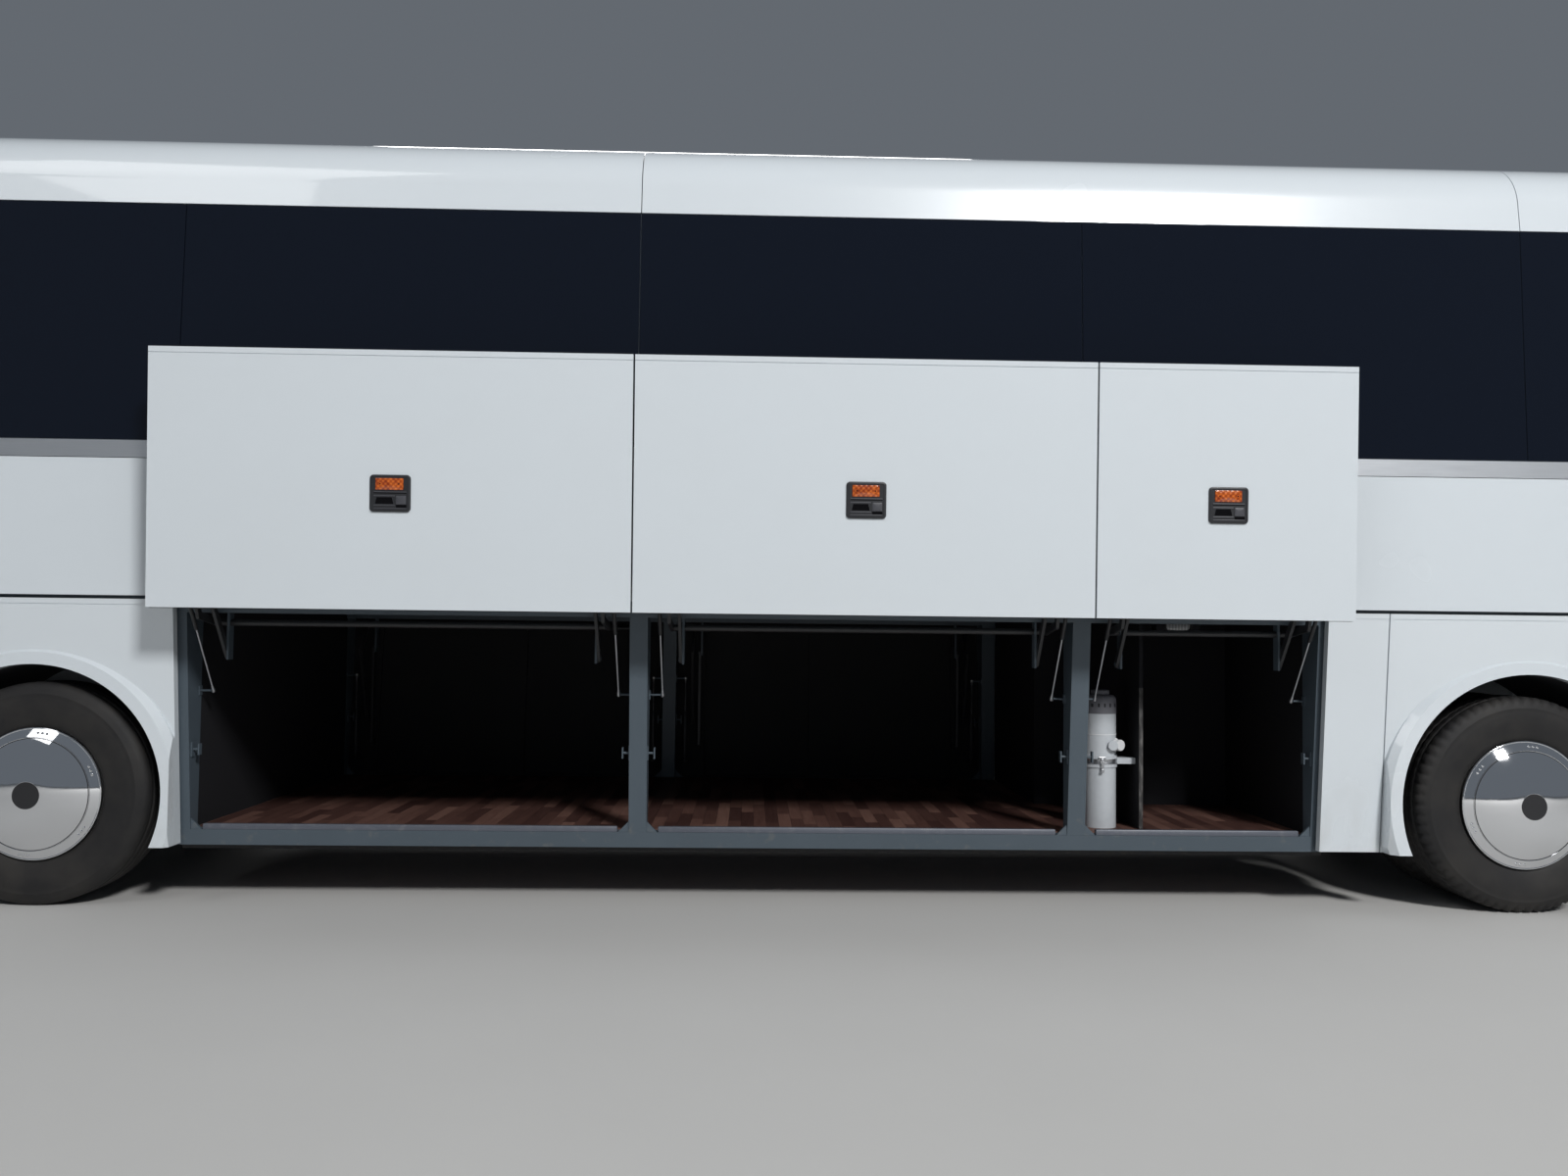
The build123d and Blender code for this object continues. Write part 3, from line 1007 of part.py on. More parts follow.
# Passenger doors: leaf with its panes and lugs, and the cranked arms on their shaft
def passenger_door(x0, x1, z0, z1, windows, shaft_z):
    """The closed leaf and its arms on their upright shaft."""
    shaft, shut, open_pin, swing = leaf_linkage(x0, x1)
    leaf = PANEL_SHELL & box(x0 + LEAF_GAP, x1 - LEAF_GAP, 900, HALF + 5, z0, z1)
    panes = []
    for a, b, low, high in windows:
        leaf -= box(a, b, 900, HALF + 5, low, high)
        panes.append(GLASS_SHELL & box(a + EYE_GAP, b - EYE_GAP, 900, HALF + 5, low + EYE_GAP, high - EYE_GAP))
    elbow = (shaft[0] + 15, open_pin[1])
    dx, dy = elbow[0] - shaft[0], elbow[1] - shaft[1]
    c, s = cos(radians(swing)), sin(radians(swing))
    elbow = (shaft[0] + c * dx - s * dy, shaft[1] + s * dx + c * dy)
    arms = [cyl_z(*shaft, BAY_TOP + EYE_GAP, shaft_z, LEAF_SHAFT_R)]
    for z in LEAF_ARM_Z:
        low, high = z - LEAF_ARM_TALL / 2, z + LEAF_ARM_TALL / 2
        for a, b in ((shaft, elbow), (elbow, shut)):
            length = hypot(b[0] - a[0], b[1] - a[1])
            turn = degrees(atan2(b[1] - a[1], b[0] - a[0]))
            run = Pos((a[0] + b[0]) / 2, (a[1] + b[1]) / 2, z) * Rot(0, 0, turn) * Box(length, 2 * LEAF_ARM, LEAF_ARM_TALL)
            arms += [run, cyl_z(*b, low, high, LEAF_ARM)]
        lug_y = outer_y(z) - PANEL + 2
        lug = box(shut[0] - 14, shut[0] + 14, shut[1] - 14, lug_y, low - 12, low - EYE_GAP)
        leaf += lug + cyl_z(*shut, low - 10, high, LEAF_PIN_R)
    arm = fused(arms)
    for z in LEAF_ARM_Z:
        arm -= cyl_z(*shut, z - LEAF_ARM_TALL, z + LEAF_ARM_TALL, LEAF_PIN_R + RUNNING)
    return [leaf] + panes, arm


SHAFT_TOP = LEAF_BRACKET_Z + BRACKET_THICK
front_leaf, front_arm = passenger_door(*FRONT_DOOR, ((FRONT_DOOR[0] + 110, FRONT_DOOR[1] - 110, 1250, 2850),), SHAFT_TOP)
mid_leaf, mid_arm = passenger_door(*MID_DOOR, ((MID_DOOR[0] + 97, MID_DOOR[1] - 103, 1440, 1960),), SHAFT_TOP)
write("front_door", front_leaf)
write("front_door_arm", front_arm)
write("mid_door", mid_leaf)
write("mid_door_arm", mid_arm)
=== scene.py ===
from math import cos, pi, radians, sin

import bmesh
import bpy
import numpy as np
from mathutils import Matrix, Vector


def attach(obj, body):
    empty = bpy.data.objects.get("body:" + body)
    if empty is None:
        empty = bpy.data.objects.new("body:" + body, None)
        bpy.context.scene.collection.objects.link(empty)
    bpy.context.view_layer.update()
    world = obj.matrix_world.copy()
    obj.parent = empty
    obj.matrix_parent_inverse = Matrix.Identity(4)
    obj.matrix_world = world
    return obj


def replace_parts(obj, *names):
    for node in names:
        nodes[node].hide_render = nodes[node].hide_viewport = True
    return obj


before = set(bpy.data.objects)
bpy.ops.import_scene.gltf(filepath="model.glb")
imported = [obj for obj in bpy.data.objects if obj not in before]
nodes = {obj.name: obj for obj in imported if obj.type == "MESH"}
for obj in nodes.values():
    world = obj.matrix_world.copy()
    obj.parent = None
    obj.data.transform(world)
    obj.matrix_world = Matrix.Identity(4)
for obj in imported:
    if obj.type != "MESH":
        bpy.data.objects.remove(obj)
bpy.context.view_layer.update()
HANDS = {"left": -1, "right": 1}

# Camera: at chest height, square to the left side of the coach and seven metres from its middle. It
# looks a little up and towards the rear, and leans by half a degree.
PHOTO_WIDTH = 1600
SENSOR_WIDTH = 36
EYE = (-0.4643, -6.914, 1.2787)
YAW, PITCH, ROLL = 0.02757, 0.03705, 0.01142
FOCAL_PIXELS = 1250.8

forward = Vector((sin(YAW) * cos(PITCH), cos(YAW) * cos(PITCH), sin(PITCH)))
level = Vector((cos(YAW), -sin(YAW), 0))
upright = level.cross(forward)
right = cos(ROLL) * level + sin(ROLL) * upright
above = cos(ROLL) * upright - sin(ROLL) * level
eye = bpy.data.cameras.new("eye")
eye.sensor_width = SENSOR_WIDTH
eye.lens = FOCAL_PIXELS * SENSOR_WIDTH / PHOTO_WIDTH
eye.clip_end = 400
camera = bpy.data.objects.new("eye", eye)
camera.matrix_world = Matrix((
    (right.x, above.x, -forward.x, EYE[0]),
    (right.y, above.y, -forward.y, EYE[1]),
    (right.z, above.z, -forward.z, EYE[2]),
    (0, 0, 0, 1)))
bpy.context.scene.collection.objects.link(camera)
bpy.context.scene.camera = camera
bpy.context.scene.view_settings.view_transform = "Standard"


# Finishes: every paint, glass and rubber is one principled shader whose base colour, roughness and
# bump are worked out from the place on the piece, in metres, so that grain and dust have real sizes.
class Value:
    """A shader socket that takes Python's arithmetic: every operator adds one Math node."""

    def __init__(self, finish, socket):
        self.finish = finish
        self.socket = socket

    def maths(self, operation, *others):
        """One Math node on this value and others."""
        return self.finish.node("Math", {"operation": operation}, [self, *others])

    def __add__(self, other):
        return self.maths("ADD", other)

    def __sub__(self, other):
        return self.maths("SUBTRACT", other)

    def __rsub__(self, other):
        return self.finish.node("Math", {"operation": "SUBTRACT"}, [other, self])

    def __mul__(self, other):
        return self.maths("MULTIPLY", other)

    def __truediv__(self, other):
        return self.maths("DIVIDE", other)

    def __pow__(self, other):
        return self.maths("POWER", other)

    def __mod__(self, other):
        return self.maths("FLOORED_MODULO", other)

    def __abs__(self):
        return self.maths("ABSOLUTE")

    def __gt__(self, other):
        return self.maths("GREATER_THAN", other)

    def __lt__(self, other):
        return self.maths("LESS_THAN", other)

    __radd__ = __add__
    __rmul__ = __mul__

    def ramp(self, low, high):
        """0 below low, 1 above high and a smooth rise between them."""
        settings = {"interpolation_type": "SMOOTHSTEP"}
        return self.finish.node("MapRange", settings, [self, low, high, 0.0, 1.0])


class Finish:
    """A principled material whose changing sockets are fed by values."""

    def __init__(self, name, **fixed):
        self.material = bpy.data.materials.new(name)
        self.material.use_nodes = True
        self.tree = self.material.node_tree
        self.shader = self.tree.nodes["Principled BSDF"]
        for socket, value in fixed.items():
            self.shader.inputs[socket.replace("_", " ").title().replace("Ior", "IOR")].default_value = value
        self.place = self.node("TexCoord", {}, {}, "Object")
        split = self.tree.nodes.new("ShaderNodeSeparateXYZ")
        self.tree.links.new(self.place.socket, split.inputs[0])
        self.x, self.y, self.z = (Value(self, output) for output in split.outputs)

    def node(self, kind, settings, sockets, output=0):
        """One shader node: its settings first, then the values or links of its sockets."""
        made = self.tree.nodes.new("ShaderNode" + kind)
        for name, value in settings.items():
            if name == "stops":
                while len(made.color_ramp.elements) < len(value):
                    made.color_ramp.elements.new(0.5)
                for element, (place, colour) in zip(made.color_ramp.elements, value):
                    element.position = place
                    element.color = (*colour, 1)
            else:
                setattr(made, name, value)
        pairs = enumerate(sockets) if isinstance(sockets, list) else sockets.items()
        for name, value in pairs:
            if isinstance(value, Value):
                self.tree.links.new(value.socket, made.inputs[name])
            else:
                made.inputs[name].default_value = value
        return Value(self, made.outputs[output])

    def noise(self, size, detail=2.0, stretch=(1, 1, 1)):
        """Cloudy noise from 0 to 1 whose blobs are this many metres across."""
        place = self.node("Mapping", {}, {"Vector": self.place, "Scale": stretch})
        return self.node("TexNoise", {}, {"Vector": place, "Scale": 1 / size, "Detail": detail})

    def mix(self, mask, first, second):
        """The first colour where the mask is 0 and the second where it is 1."""
        first, second = (c if isinstance(c, Value) else (*c, 1.0) for c in (first, second))
        return self.node("Mix", {"data_type": "RGBA"}, {0: mask, 6: first, 7: second}, 2)

    def feed(self, socket, value):
        """Links a value to a socket of the shader."""
        self.tree.links.new(value.socket, self.shader.inputs[socket])

    def bump(self, height, depth):
        """Relief of this depth in metres, from a height of 0 to 1."""
        self.feed("Normal", self.node("Bump", {}, {"Strength": 1.0, "Distance": depth, "Height": height}))


def grained(name, size, detail, dark, light, rough, swing, relief=0.0, stretch=(1, 1, 1), **fixed):
    """A finish whose colour and roughness, and relief where it has one, all follow one noise: its
    roughness is rough where the noise is 0 and rises by swing."""
    finish = Finish(name, **fixed)
    grain = finish.noise(size, detail, stretch)
    finish.feed("Base Color", finish.mix(grain, dark, light))
    finish.feed("Roughness", grain * swing + rough)
    if relief:
        finish.bump(grain, relief)
    return finish


def dress(finish, *names):
    """Gives CAD nodes their finish."""
    for name in names:
        data = nodes[name].data
        if not data.materials:
            data.materials.append(None)
        for index in range(len(data.materials)):
            data.materials[index] = finish.material


# The yard: a plain pale floor, soft light from large lamps above the camera's side and a pale sky.
# None of it is part of the coach.
FLOOR_COLOUR = (0.62, 0.61, 0.59)
FLOOR_SHADE = tuple(0.94 * part for part in FLOOR_COLOUR)
bpy.ops.mesh.primitive_plane_add(size=240)
floor = bpy.context.object
floor.name = "floor"
ground = Finish("pale_floor", roughness=0.85)
ground.feed("Base Color", ground.mix(ground.noise(0.9, 6.0), FLOOR_COLOUR, FLOOR_SHADE))
floor.data.materials.append(ground.material)


def lamp(name, place, aim, size, watts):
    """A square soft box at a place, turned to its aim."""
    light = bpy.data.lights.new(name, "AREA")
    light.shape = "SQUARE"
    light.size = size
    light.energy = watts
    made = bpy.data.objects.new(name, light)
    made.location = place
    made.rotation_euler = (Vector(aim) - Vector(place)).to_track_quat("-Z", "Y").to_euler()
    bpy.context.scene.collection.objects.link(made)


lamp("key_light", (6.6, -17.0, 13.2), (0.3, -1.2, 1.2), 3.0, 3000)
lamp("fill_light", (-10.0, -12.0, 14.0), (0.0, 0.0, 1.6), 7.0, 350)
lamp("back_light", (-2.0, 16.0, 10.0), (0.0, 0.0, 1.5), 11.0, 1500)
sky = bpy.data.worlds.new("sky")
bpy.context.scene.world = sky
sky.use_nodes = True
sky_light = sky.node_tree.nodes["Background"]
sky_light.inputs["Color"].default_value = (0.74, 0.83, 0.95, 1)
sky_light.inputs["Strength"].default_value = 0.17


# Coach paint: solid white with a clear coat, and road dust in patches low down on the skirts.
WHITE = (0.725, 0.775, 0.81)
MUD = (0.42, 0.40, 0.36)
DUST_FULL_Z, DUST_END_Z, DUST_COVER = 0.25, 0.75, 0.35


def road_dust(finish):
    """How thick dust lies, from 0 to 1: patches drawn out upwards that thin out with height."""
    patches = finish.noise(0.09, 5.0, (1, 1, 0.35)).ramp(0.35, 0.9)
    return (1 - finish.z.ramp(DUST_FULL_Z, DUST_END_Z)) * patches


def dusty_white(finish, dust):
    """The coach's white under its dust."""
    return finish.mix(dust * DUST_COVER, WHITE, MUD)


paint = Finish("white_coach_paint", specular_ior_level=0.5, coat_weight=1.0, coat_roughness=0.03)
dust = road_dust(paint)
paint.feed("Base Color", dusty_white(paint, dust))
paint.feed("Roughness", paint.noise(0.5) * 0.08 + dust * 0.3 + 0.22)
paint.bump(paint.noise(0.012, 1.0), 0.00003)
dress(paint, "side_panels", "roof", "front_mask", "rear_mask", "engine_cover")

# Luggage doors: the same paint on the skin and its edges, and near black on the inner face, which is painted
# shade for the dark inside of the bays. The skin is a plane that leans outwards up to the belt; the left
# doors stand turned about their arm pin and raised.
# Each door's row is its side of the coach, its front edge and its rear edge.
DOORS = {"left_1": (-1, -3.083, -0.983), "left_2": (-1, -0.983, 1.064), "left_3": (-1, 1.064, 2.232),
         "right_1": (1, -3.083, -0.983), "right_2": (1, -0.983, 1.064)}
LEAN = 0.099
BELT_Y, BELT_Z = 1.275, 1.418
ARM_PIN = (1.13233, 0.70004)
RAISED = (0.35040, 1.08165)
DOOR_TURN = radians(3.42)
INNER_FACE_DEPTH = 0.017


def on_door(side, z, depth=0.0):
    """The (y, z) of a point of a door's skin, z being its height while closed, and the way it faces."""
    tilt = np.array((1.0, -LEAN)) / np.hypot(1, LEAN)
    spot = np.array((BELT_Y - LEAN * (BELT_Z - z), z)) - depth * tilt
    if side < 0:
        turn = np.array(((cos(DOOR_TURN), -sin(DOOR_TURN)), (sin(DOOR_TURN), cos(DOOR_TURN))))
        spot = turn @ (spot - ARM_PIN) + ARM_PIN + RAISED
        tilt = turn @ tilt
    return (side * spot[0], spot[1]), (0, side * tilt[0], tilt[1])


for hand, side in HANDS.items():
    (y, z), facing = on_door(side, BELT_Z)
    leaf = Finish(f"{hand}_door_paint", coat_weight=1.0, coat_roughness=0.03)
    depth = leaf.y * -facing[1] + leaf.z * -facing[2] + (y * facing[1] + z * facing[2])
    inner = depth > INNER_FACE_DEPTH
    # Near black on the inner face: painted shade for the dark inside of the bays.
    inner_painted_shade = leaf.mix(leaf.noise(0.003, 4.0), (0.008, 0.008, 0.009), (0.016, 0.016, 0.018))
    film = leaf.noise(0.4, 4.0).ramp(0.2, 0.9)
    leaf.feed("Base Color", leaf.mix(inner, leaf.mix(film * 0.05, WHITE, (0.55, 0.54, 0.51)), inner_painted_shade))
    leaf.feed("Roughness", inner * 0.6 + film * 0.06 + 0.22)
    leaf.feed("Coat Weight", 1 - inner)
    dress(leaf, *(f"luggage_door_{door}" for door in DOORS if door.startswith(hand)))


# Side glass: double panes bonded flush, tinted almost black, with a faint ripple in what they reflect.
glass = Finish("tinted_side_glass", base_color=(0.0035, 0.006, 0.013, 1), roughness=0.03, ior=1.5,
               specular_ior_level=0.45)
glass.bump(glass.noise(1.3, 1.0), 0.0006)
dress(glass, "window_glass")

# Windscreen: clear laminated glass with a black printed band round its edge, wider along its top.
SCREEN_LOW, SCREEN_HIGH, SCREEN_HALF = 1.334, 3.286, 1.126
BAND, TOP_BAND = 0.07, 0.154
screen = Finish("windscreen_glass", roughness=0.02, ior=1.5, coat_weight=1.0, coat_roughness=0.01)
band = ((screen.z < SCREEN_LOW + BAND) + (screen.z > SCREEN_HIGH - TOP_BAND)
        + (abs(screen.y) > SCREEN_HALF - BAND)).maths("MINIMUM", 1.0)
screen.feed("Base Color", screen.mix(band, (0.06, 0.075, 0.08), (0.006, 0.006, 0.007)))
screen.feed("Alpha", band * 0.45 + 0.55)
dress(screen, "windscreen")

# Strip under the side glass: drawn aluminium with fine lengthwise scratches.
strip = grained("satin_strip", 0.0012, 2.0, (0.68, 0.71, 0.74), (0.80, 0.82, 0.85), 0.34, 0.12,
                stretch=(0.01, 1, 1), metallic=1.0)
dress(strip, "trim_strips")

# Body frame: welded steel posts and sills in slate grey enamel, rubbed low down where luggage passes.
SLATE = (0.070, 0.092, 0.112)
FADED_SLATE = tuple(1.18 * part for part in SLATE)
RUBBED_BELOW_Z = 0.42
slate = Finish("slate_enamel", specular_ior_level=0.5)
rub = slate.noise(0.05, 6.0).ramp(0.58, 0.75) * (slate.z < RUBBED_BELOW_Z)
cloud = slate.noise(0.25, 4.0)
slate.feed("Base Color", slate.mix(rub * 0.4, slate.mix(cloud, SLATE, FADED_SLATE), (0.16, 0.16, 0.15)))
slate.feed("Roughness", cloud * 0.18 + 0.38)
slate.bump(slate.noise(0.004, 2.0), 0.00008)
dress(slate, "body_frame")

# Floors: varnished boards of dark reddish brown laid across the bays, sealed rubber on the cabin floor.
BOARD_WIDE, BOARD_LONG, ROW_SHIFT = 0.062, 0.46, 0.37
JOINT_ACROSS, JOINT_ALONG = 0.02, 0.003
BAY_FLOOR_TOP_Z = 0.36
WOOD = [(0.2, (0.052, 0.023, 0.019)), (0.45, (0.090, 0.043, 0.034)), (0.65, (0.135, 0.068, 0.053)),
        (0.9, (0.20, 0.110, 0.085))]
boards = Finish("floor_boards", specular_ior_level=0.35)
across = boards.x / BOARD_WIDE
row = across.maths("FLOOR")
along = boards.y / BOARD_LONG + row * ROW_SHIFT
board = boards.node("CombineXYZ", {}, [row, along.maths("FLOOR")])
each = boards.node("TexWhiteNoise", {"noise_dimensions": "2D"}, {"Vector": board})
grain = boards.noise(0.010, 6.0, (1, 0.06, 1))
wood = boards.node("ValToRGB", {"stops": WOOD}, [each * 0.62 + grain * 0.38])
joint = (across % 1.0 < JOINT_ACROSS) + (along % 1.0 < JOINT_ALONG)
laid = boards.mix(joint, wood, (0.012, 0.007, 0.006))
boards.feed("Base Color", boards.mix(boards.z < BAY_FLOOR_TOP_Z, (0.045, 0.045, 0.048), laid))
boards.feed("Roughness", grain * 0.2 + 0.42)
boards.bump(grain * 0.3 - joint, 0.0004)
dress(boards, "floors")

# Lining of the bays and wheel arches: black needled felt and black plastic liners.
felt = grained("black_lining", 0.003, 4.0, (0.010, 0.010, 0.012), (0.022, 0.022, 0.025), 0.85, 0.1, 0.0006,
               specular_ior_level=0.2)
dress(felt, "bay_lining")

# Chassis: rails, axles and knuckles in black chassis paint with dried road dirt on top.
chassis = Finish("chassis_paint", specular_ior_level=0.4)
dirt = chassis.noise(0.06, 6.0).ramp(0.45, 0.8)
chassis.feed("Base Color", chassis.mix(dirt * 0.5, (0.016, 0.016, 0.018), (0.09, 0.08, 0.07)))
chassis.feed("Roughness", dirt * 0.35 + 0.45)
chassis.bump(chassis.noise(0.01, 4.0), 0.0004)
dress(chassis, "underframe", "axles", "knuckle_left", "knuckle_right")

# Engine: cast iron and painted steel, oily and dusty.
iron = grained("cast_engine", 0.08, 5.0, (0.10, 0.10, 0.10), (0.22, 0.21, 0.20), 0.35, 0.4,
               metallic=0.4, specular_ior_level=0.4)
iron.bump(iron.noise(0.006, 3.0), 0.0006)
dress(iron, "engine")

# Linkage: arms, links and strut cylinders in satin black paint, and ground chrome on the strut rods.
satin = grained("satin_black_steel", 0.02, 4.0, (0.018, 0.019, 0.021), (0.034, 0.035, 0.038), 0.3, 0.15,
                specular_ior_level=0.5)
satin.bump(satin.noise(0.003), 0.00005)
dress(satin, "front_door_arm", "mid_door_arm",
      *(name for name in nodes if name.startswith(("door_arm", "door_link"))))
rod = grained("ground_rod", 0.002, 2.0, (0.40, 0.41, 0.43), (0.52, 0.53, 0.55), 0.25, 0.08,
              stretch=(1, 1, 8), metallic=1.0)

# Passenger doors: white with a tinted pane, whose zone is given in x and then in z.
PANE_ZONES = {"front_door": (-5.890, -5.350, 1.250, 2.850), "mid_door": (1.240, 2.100, 1.440, 1.960)}
for name, (x0, x1, z0, z1) in PANE_ZONES.items():
    leaf = Finish(f"{name}_leaf", coat_weight=1.0, coat_roughness=0.03)
    pane = ((leaf.x > x0) * (leaf.x < x1)) * ((leaf.z > z0) * (leaf.z < z1))
    leaf.feed("Base Color", leaf.mix(pane, dusty_white(leaf, road_dust(leaf)), (0.004, 0.006, 0.012)))
    leaf.feed("Roughness", (1 - pane) * 0.24 + 0.03)
    dress(leaf, name)

# Mirror housings and wiper arms: black moulded plastic with a fine grain.
black = grained("moulded_black", 0.0025, 3.0, (0.014, 0.014, 0.016), (0.026, 0.026, 0.028), 0.42, 0.1, 0.0001,
                specular_ior_level=0.5)
dress(black, "mirrors", "wipers")

# Dashboard and steering wheel: grained dark plastic and leather.
dash = grained("dash_plastic", 0.004, 4.0, (0.030, 0.031, 0.034), (0.052, 0.053, 0.056), 0.5, 0.15, 0.0003,
               specular_ior_level=0.35)
dress(dash, "dashboard", "steering_wheel")

# Plush of the seats: dark blue nap with a small woven check.
WEAVE = 0.03
plush = Finish("seat_plush", sheen_weight=0.4, specular_ior_level=0.2)
nap = plush.noise(0.006, 3.0)
check = ((plush.y / WEAVE).maths("SINE") * (plush.z / WEAVE).maths("SINE")).ramp(0.2, 0.6)
plain = plush.mix(nap, (0.020, 0.028, 0.060), (0.035, 0.047, 0.095))
plush.feed("Base Color", plush.mix(check * 0.5, plain, (0.10, 0.11, 0.14)))
plush.feed("Roughness", nap * 0.1 + 0.85)
plush.bump(nap, 0.0008)

# Lamps: clear lenses at the front, and at the rear amber ones between two red zones.
FLUTE, AMBER_LOW_Z, AMBER_HIGH_Z = 0.012, 1.0, 1.30
RED, AMBER, CLEAR = (0.38, 0.008, 0.006), (0.55, 0.20, 0.01), (0.46, 0.49, 0.52)
lens = Finish("lamp_lens", specular_ior_level=0.6, coat_weight=1.0, coat_roughness=0.02)
flute = (lens.y / FLUTE).maths("SINE") * 0.5 + 0.5
rear_colour = lens.mix(lens.z > AMBER_HIGH_Z, lens.mix(lens.z < AMBER_LOW_Z, RED, AMBER), RED)
lens.feed("Base Color", lens.mix(lens.x > 0.0, CLEAR, rear_colour))
lens.feed("Roughness", flute * 0.05 + 0.04)
lens.bump(flute, 0.0008)
dress(lens, "lamps")

# Vacuum canister: light grey enamel, and dark above its clamp band.
DARK_ABOVE_Z = 0.906
enamel = Finish("canister_enamel", coat_weight=0.4, coat_roughness=0.1)
mottle = enamel.noise(0.03, 4.0)
grey = enamel.mix(mottle, (0.52, 0.55, 0.58), (0.60, 0.63, 0.66))
enamel.feed("Base Color", enamel.mix(enamel.z > DARK_ABOVE_Z, grey, (0.020, 0.021, 0.024)))
enamel.feed("Roughness", mottle * 0.1 + 0.3)
enamel.bump(enamel.noise(0.004), 0.00005)
dress(enamel, "vacuum_canister")

# Wheels: a mirror-bright dome with a black centre disc, and silver paint on rim and hub behind it.
AXLES = {"front": -3.7125, "rear": 3.1975}
AXLE_Z = 0.510
DOME_FACE, DISC_R = 1.184, 0.061
for end, axle_x in AXLES.items():
    for hand in HANDS:
        chrome = Finish(f"chrome_{end}_{hand}", specular_ior_level=0.5)
        dx, dz = chrome.x - axle_x, chrome.z - AXLE_Z
        dome = abs(chrome.y) > DOME_FACE
        disc = ((dx * dx + dz * dz) ** 0.5 < DISC_R) * dome
        smear = chrome.noise(0.05, 4.0)
        bright = chrome.mix(dome, (0.40, 0.41, 0.42), (0.83, 0.84, 0.86))
        chrome.feed("Base Color", chrome.mix(disc, bright, (0.02, 0.02, 0.022)))
        chrome.feed("Metallic", (1 - disc) * 0.7 + dome * (1 - disc) * 0.3)
        chrome.feed("Roughness", (1 - dome) * 0.32 + disc * 0.4 + smear * 0.05 + 0.02)
        dress(chrome, f"wheel_{end}_{hand}")


# Tyres: steel-cord radials with a grooved tread. The steered ones are ribbed with a smooth shoulder,
# the driven ones have open notches in the shoulder. Each is one surface of revolution, whose PROFILE goes
# up a side wall from the bead, as radius and distance from the tyre's middle plane.
PROFILE = np.array([(0.288, 0.060), (0.288, 0.102), (0.300, 0.1065), (0.302, 0.121), (0.312, 0.1285),
                    (0.330, 0.1345), (0.352, 0.140), (0.380, 0.1455), (0.410, 0.1485), (0.436, 0.1475),
                    (0.452, 0.1455), (0.455, 0.1462), (0.458, 0.1448), (0.476, 0.139), (0.490, 0.132),
                    (0.498, 0.125), (0.5045, 0.117), (0.507, 0.110)])
TREAD_R, TREAD_FALL, TREAD_HALF = 0.5098, 0.0022, 0.108
GROOVES = (-0.078, -0.026, 0.026, 0.078)
GROOVE_HALF, GROOVE_DEEP = 0.0055, 0.013
NOTCH_DEEP, SIPE_DEEP, NICK_DEEP = 0.010, 0.004, 0.0025
# Bands that are cut: from and to as distance from the middle plane, and the least radius.
SHOULDER, RIBS, EDGE = (0.086, 0.1335, 0.485), (-1.0, 0.075, 0.505), (0.104, 0.112, 0.5)
TYRE_STEPS = 256
OUTER_TYRE, INNER_TYRE = 1.066, 0.736


def grid_mesh(name, points, closed_u=False, closed_v=False):
    """A mesh from an (n, m, 3) array of points, its quads joined round where a direction is closed."""
    n, m = points.shape[:2]
    rows = np.arange(n if closed_u else n - 1)[:, None]
    columns = np.arange(m if closed_v else m - 1)[None, :]
    next_row, next_column = (rows + 1) % n, (columns + 1) % m
    quads = np.stack([rows * m + columns, next_row * m + columns, next_row * m + next_column,
                      rows * m + next_column], -1).reshape(-1, 4)
    mesh = bpy.data.meshes.new(name)
    mesh.from_pydata(points.reshape(-1, 3), [], quads.tolist())
    mesh.update()
    return mesh


def joined(made, points, **closed):
    """Adds a grid of points to a bmesh."""
    part = grid_mesh("part", points, **closed)
    made.from_mesh(part)
    bpy.data.meshes.remove(part)


def finished(name, made, finish, body, sharp=None):
    """One smooth piece from a bmesh, riding a body. Edges past sharp degrees stay edges."""
    bmesh.ops.recalc_face_normals(made, faces=made.faces)
    mesh = bpy.data.meshes.new(name)
    made.to_mesh(mesh)
    made.free()
    mesh.polygons.foreach_set("use_smooth", np.ones(len(mesh.polygons), bool))
    if sharp:
        mesh.set_sharp_from_angle(angle=radians(sharp))
    mesh.materials.append(finish.material)
    piece = bpy.data.objects.new(name, mesh)
    bpy.context.scene.collection.objects.link(piece)
    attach(piece, body)
    return piece


def tyre_surface(centre_x, centre_y, driven):
    """Radius over (angle, arc along the profile): the side wall's outline, then a tread whose radius
    falls slightly outwards, less four grooves. A driven tyre loses a notch in its shoulders and a sipe in
    its ribs at every fourth step round it, a steered one a nick in its edges at every other step."""
    groove_walls = np.array([-1.25, -1.0, 1.0, 1.25]) * GROOVE_HALF
    tread = np.unique(np.concatenate([np.linspace(-TREAD_HALF, TREAD_HALF, 15)]
                                     + [groove_walls + groove for groove in GROOVES]))
    tread_r = TREAD_R - TREAD_FALL * (tread / TREAD_HALF) ** 2
    for groove in GROOVES:
        tread_r -= GROOVE_DEEP * (abs(tread - groove) < GROOVE_HALF * 1.1)
    radius = np.concatenate([PROFILE[:, 0], tread_r[::-1], PROFILE[::-1, 0]])
    across = np.concatenate([PROFILE[:, 1], tread[::-1], -PROFILE[::-1, 1]])
    shoulder, ribs, edge = ((abs(across) > near) & (abs(across) < far) & (radius > least)
                            for near, far, least in (SHOULDER, RIBS, EDGE))
    step = np.arange(TYRE_STEPS)[:, None]
    angle = np.linspace(0, 2 * pi, TYRE_STEPS, endpoint=False)[:, None]
    if driven:
        cut = NOTCH_DEEP * (step % 4 == 0) * shoulder + SIPE_DEEP * (step % 4 == 2) * ribs
    else:
        cut = NICK_DEEP * (step % 2 == 0) * edge
    r = radius - cut
    return np.stack([centre_x + r * np.cos(angle), np.broadcast_to(centre_y + across, r.shape),
                     AXLE_Z + r * np.sin(angle)], -1)


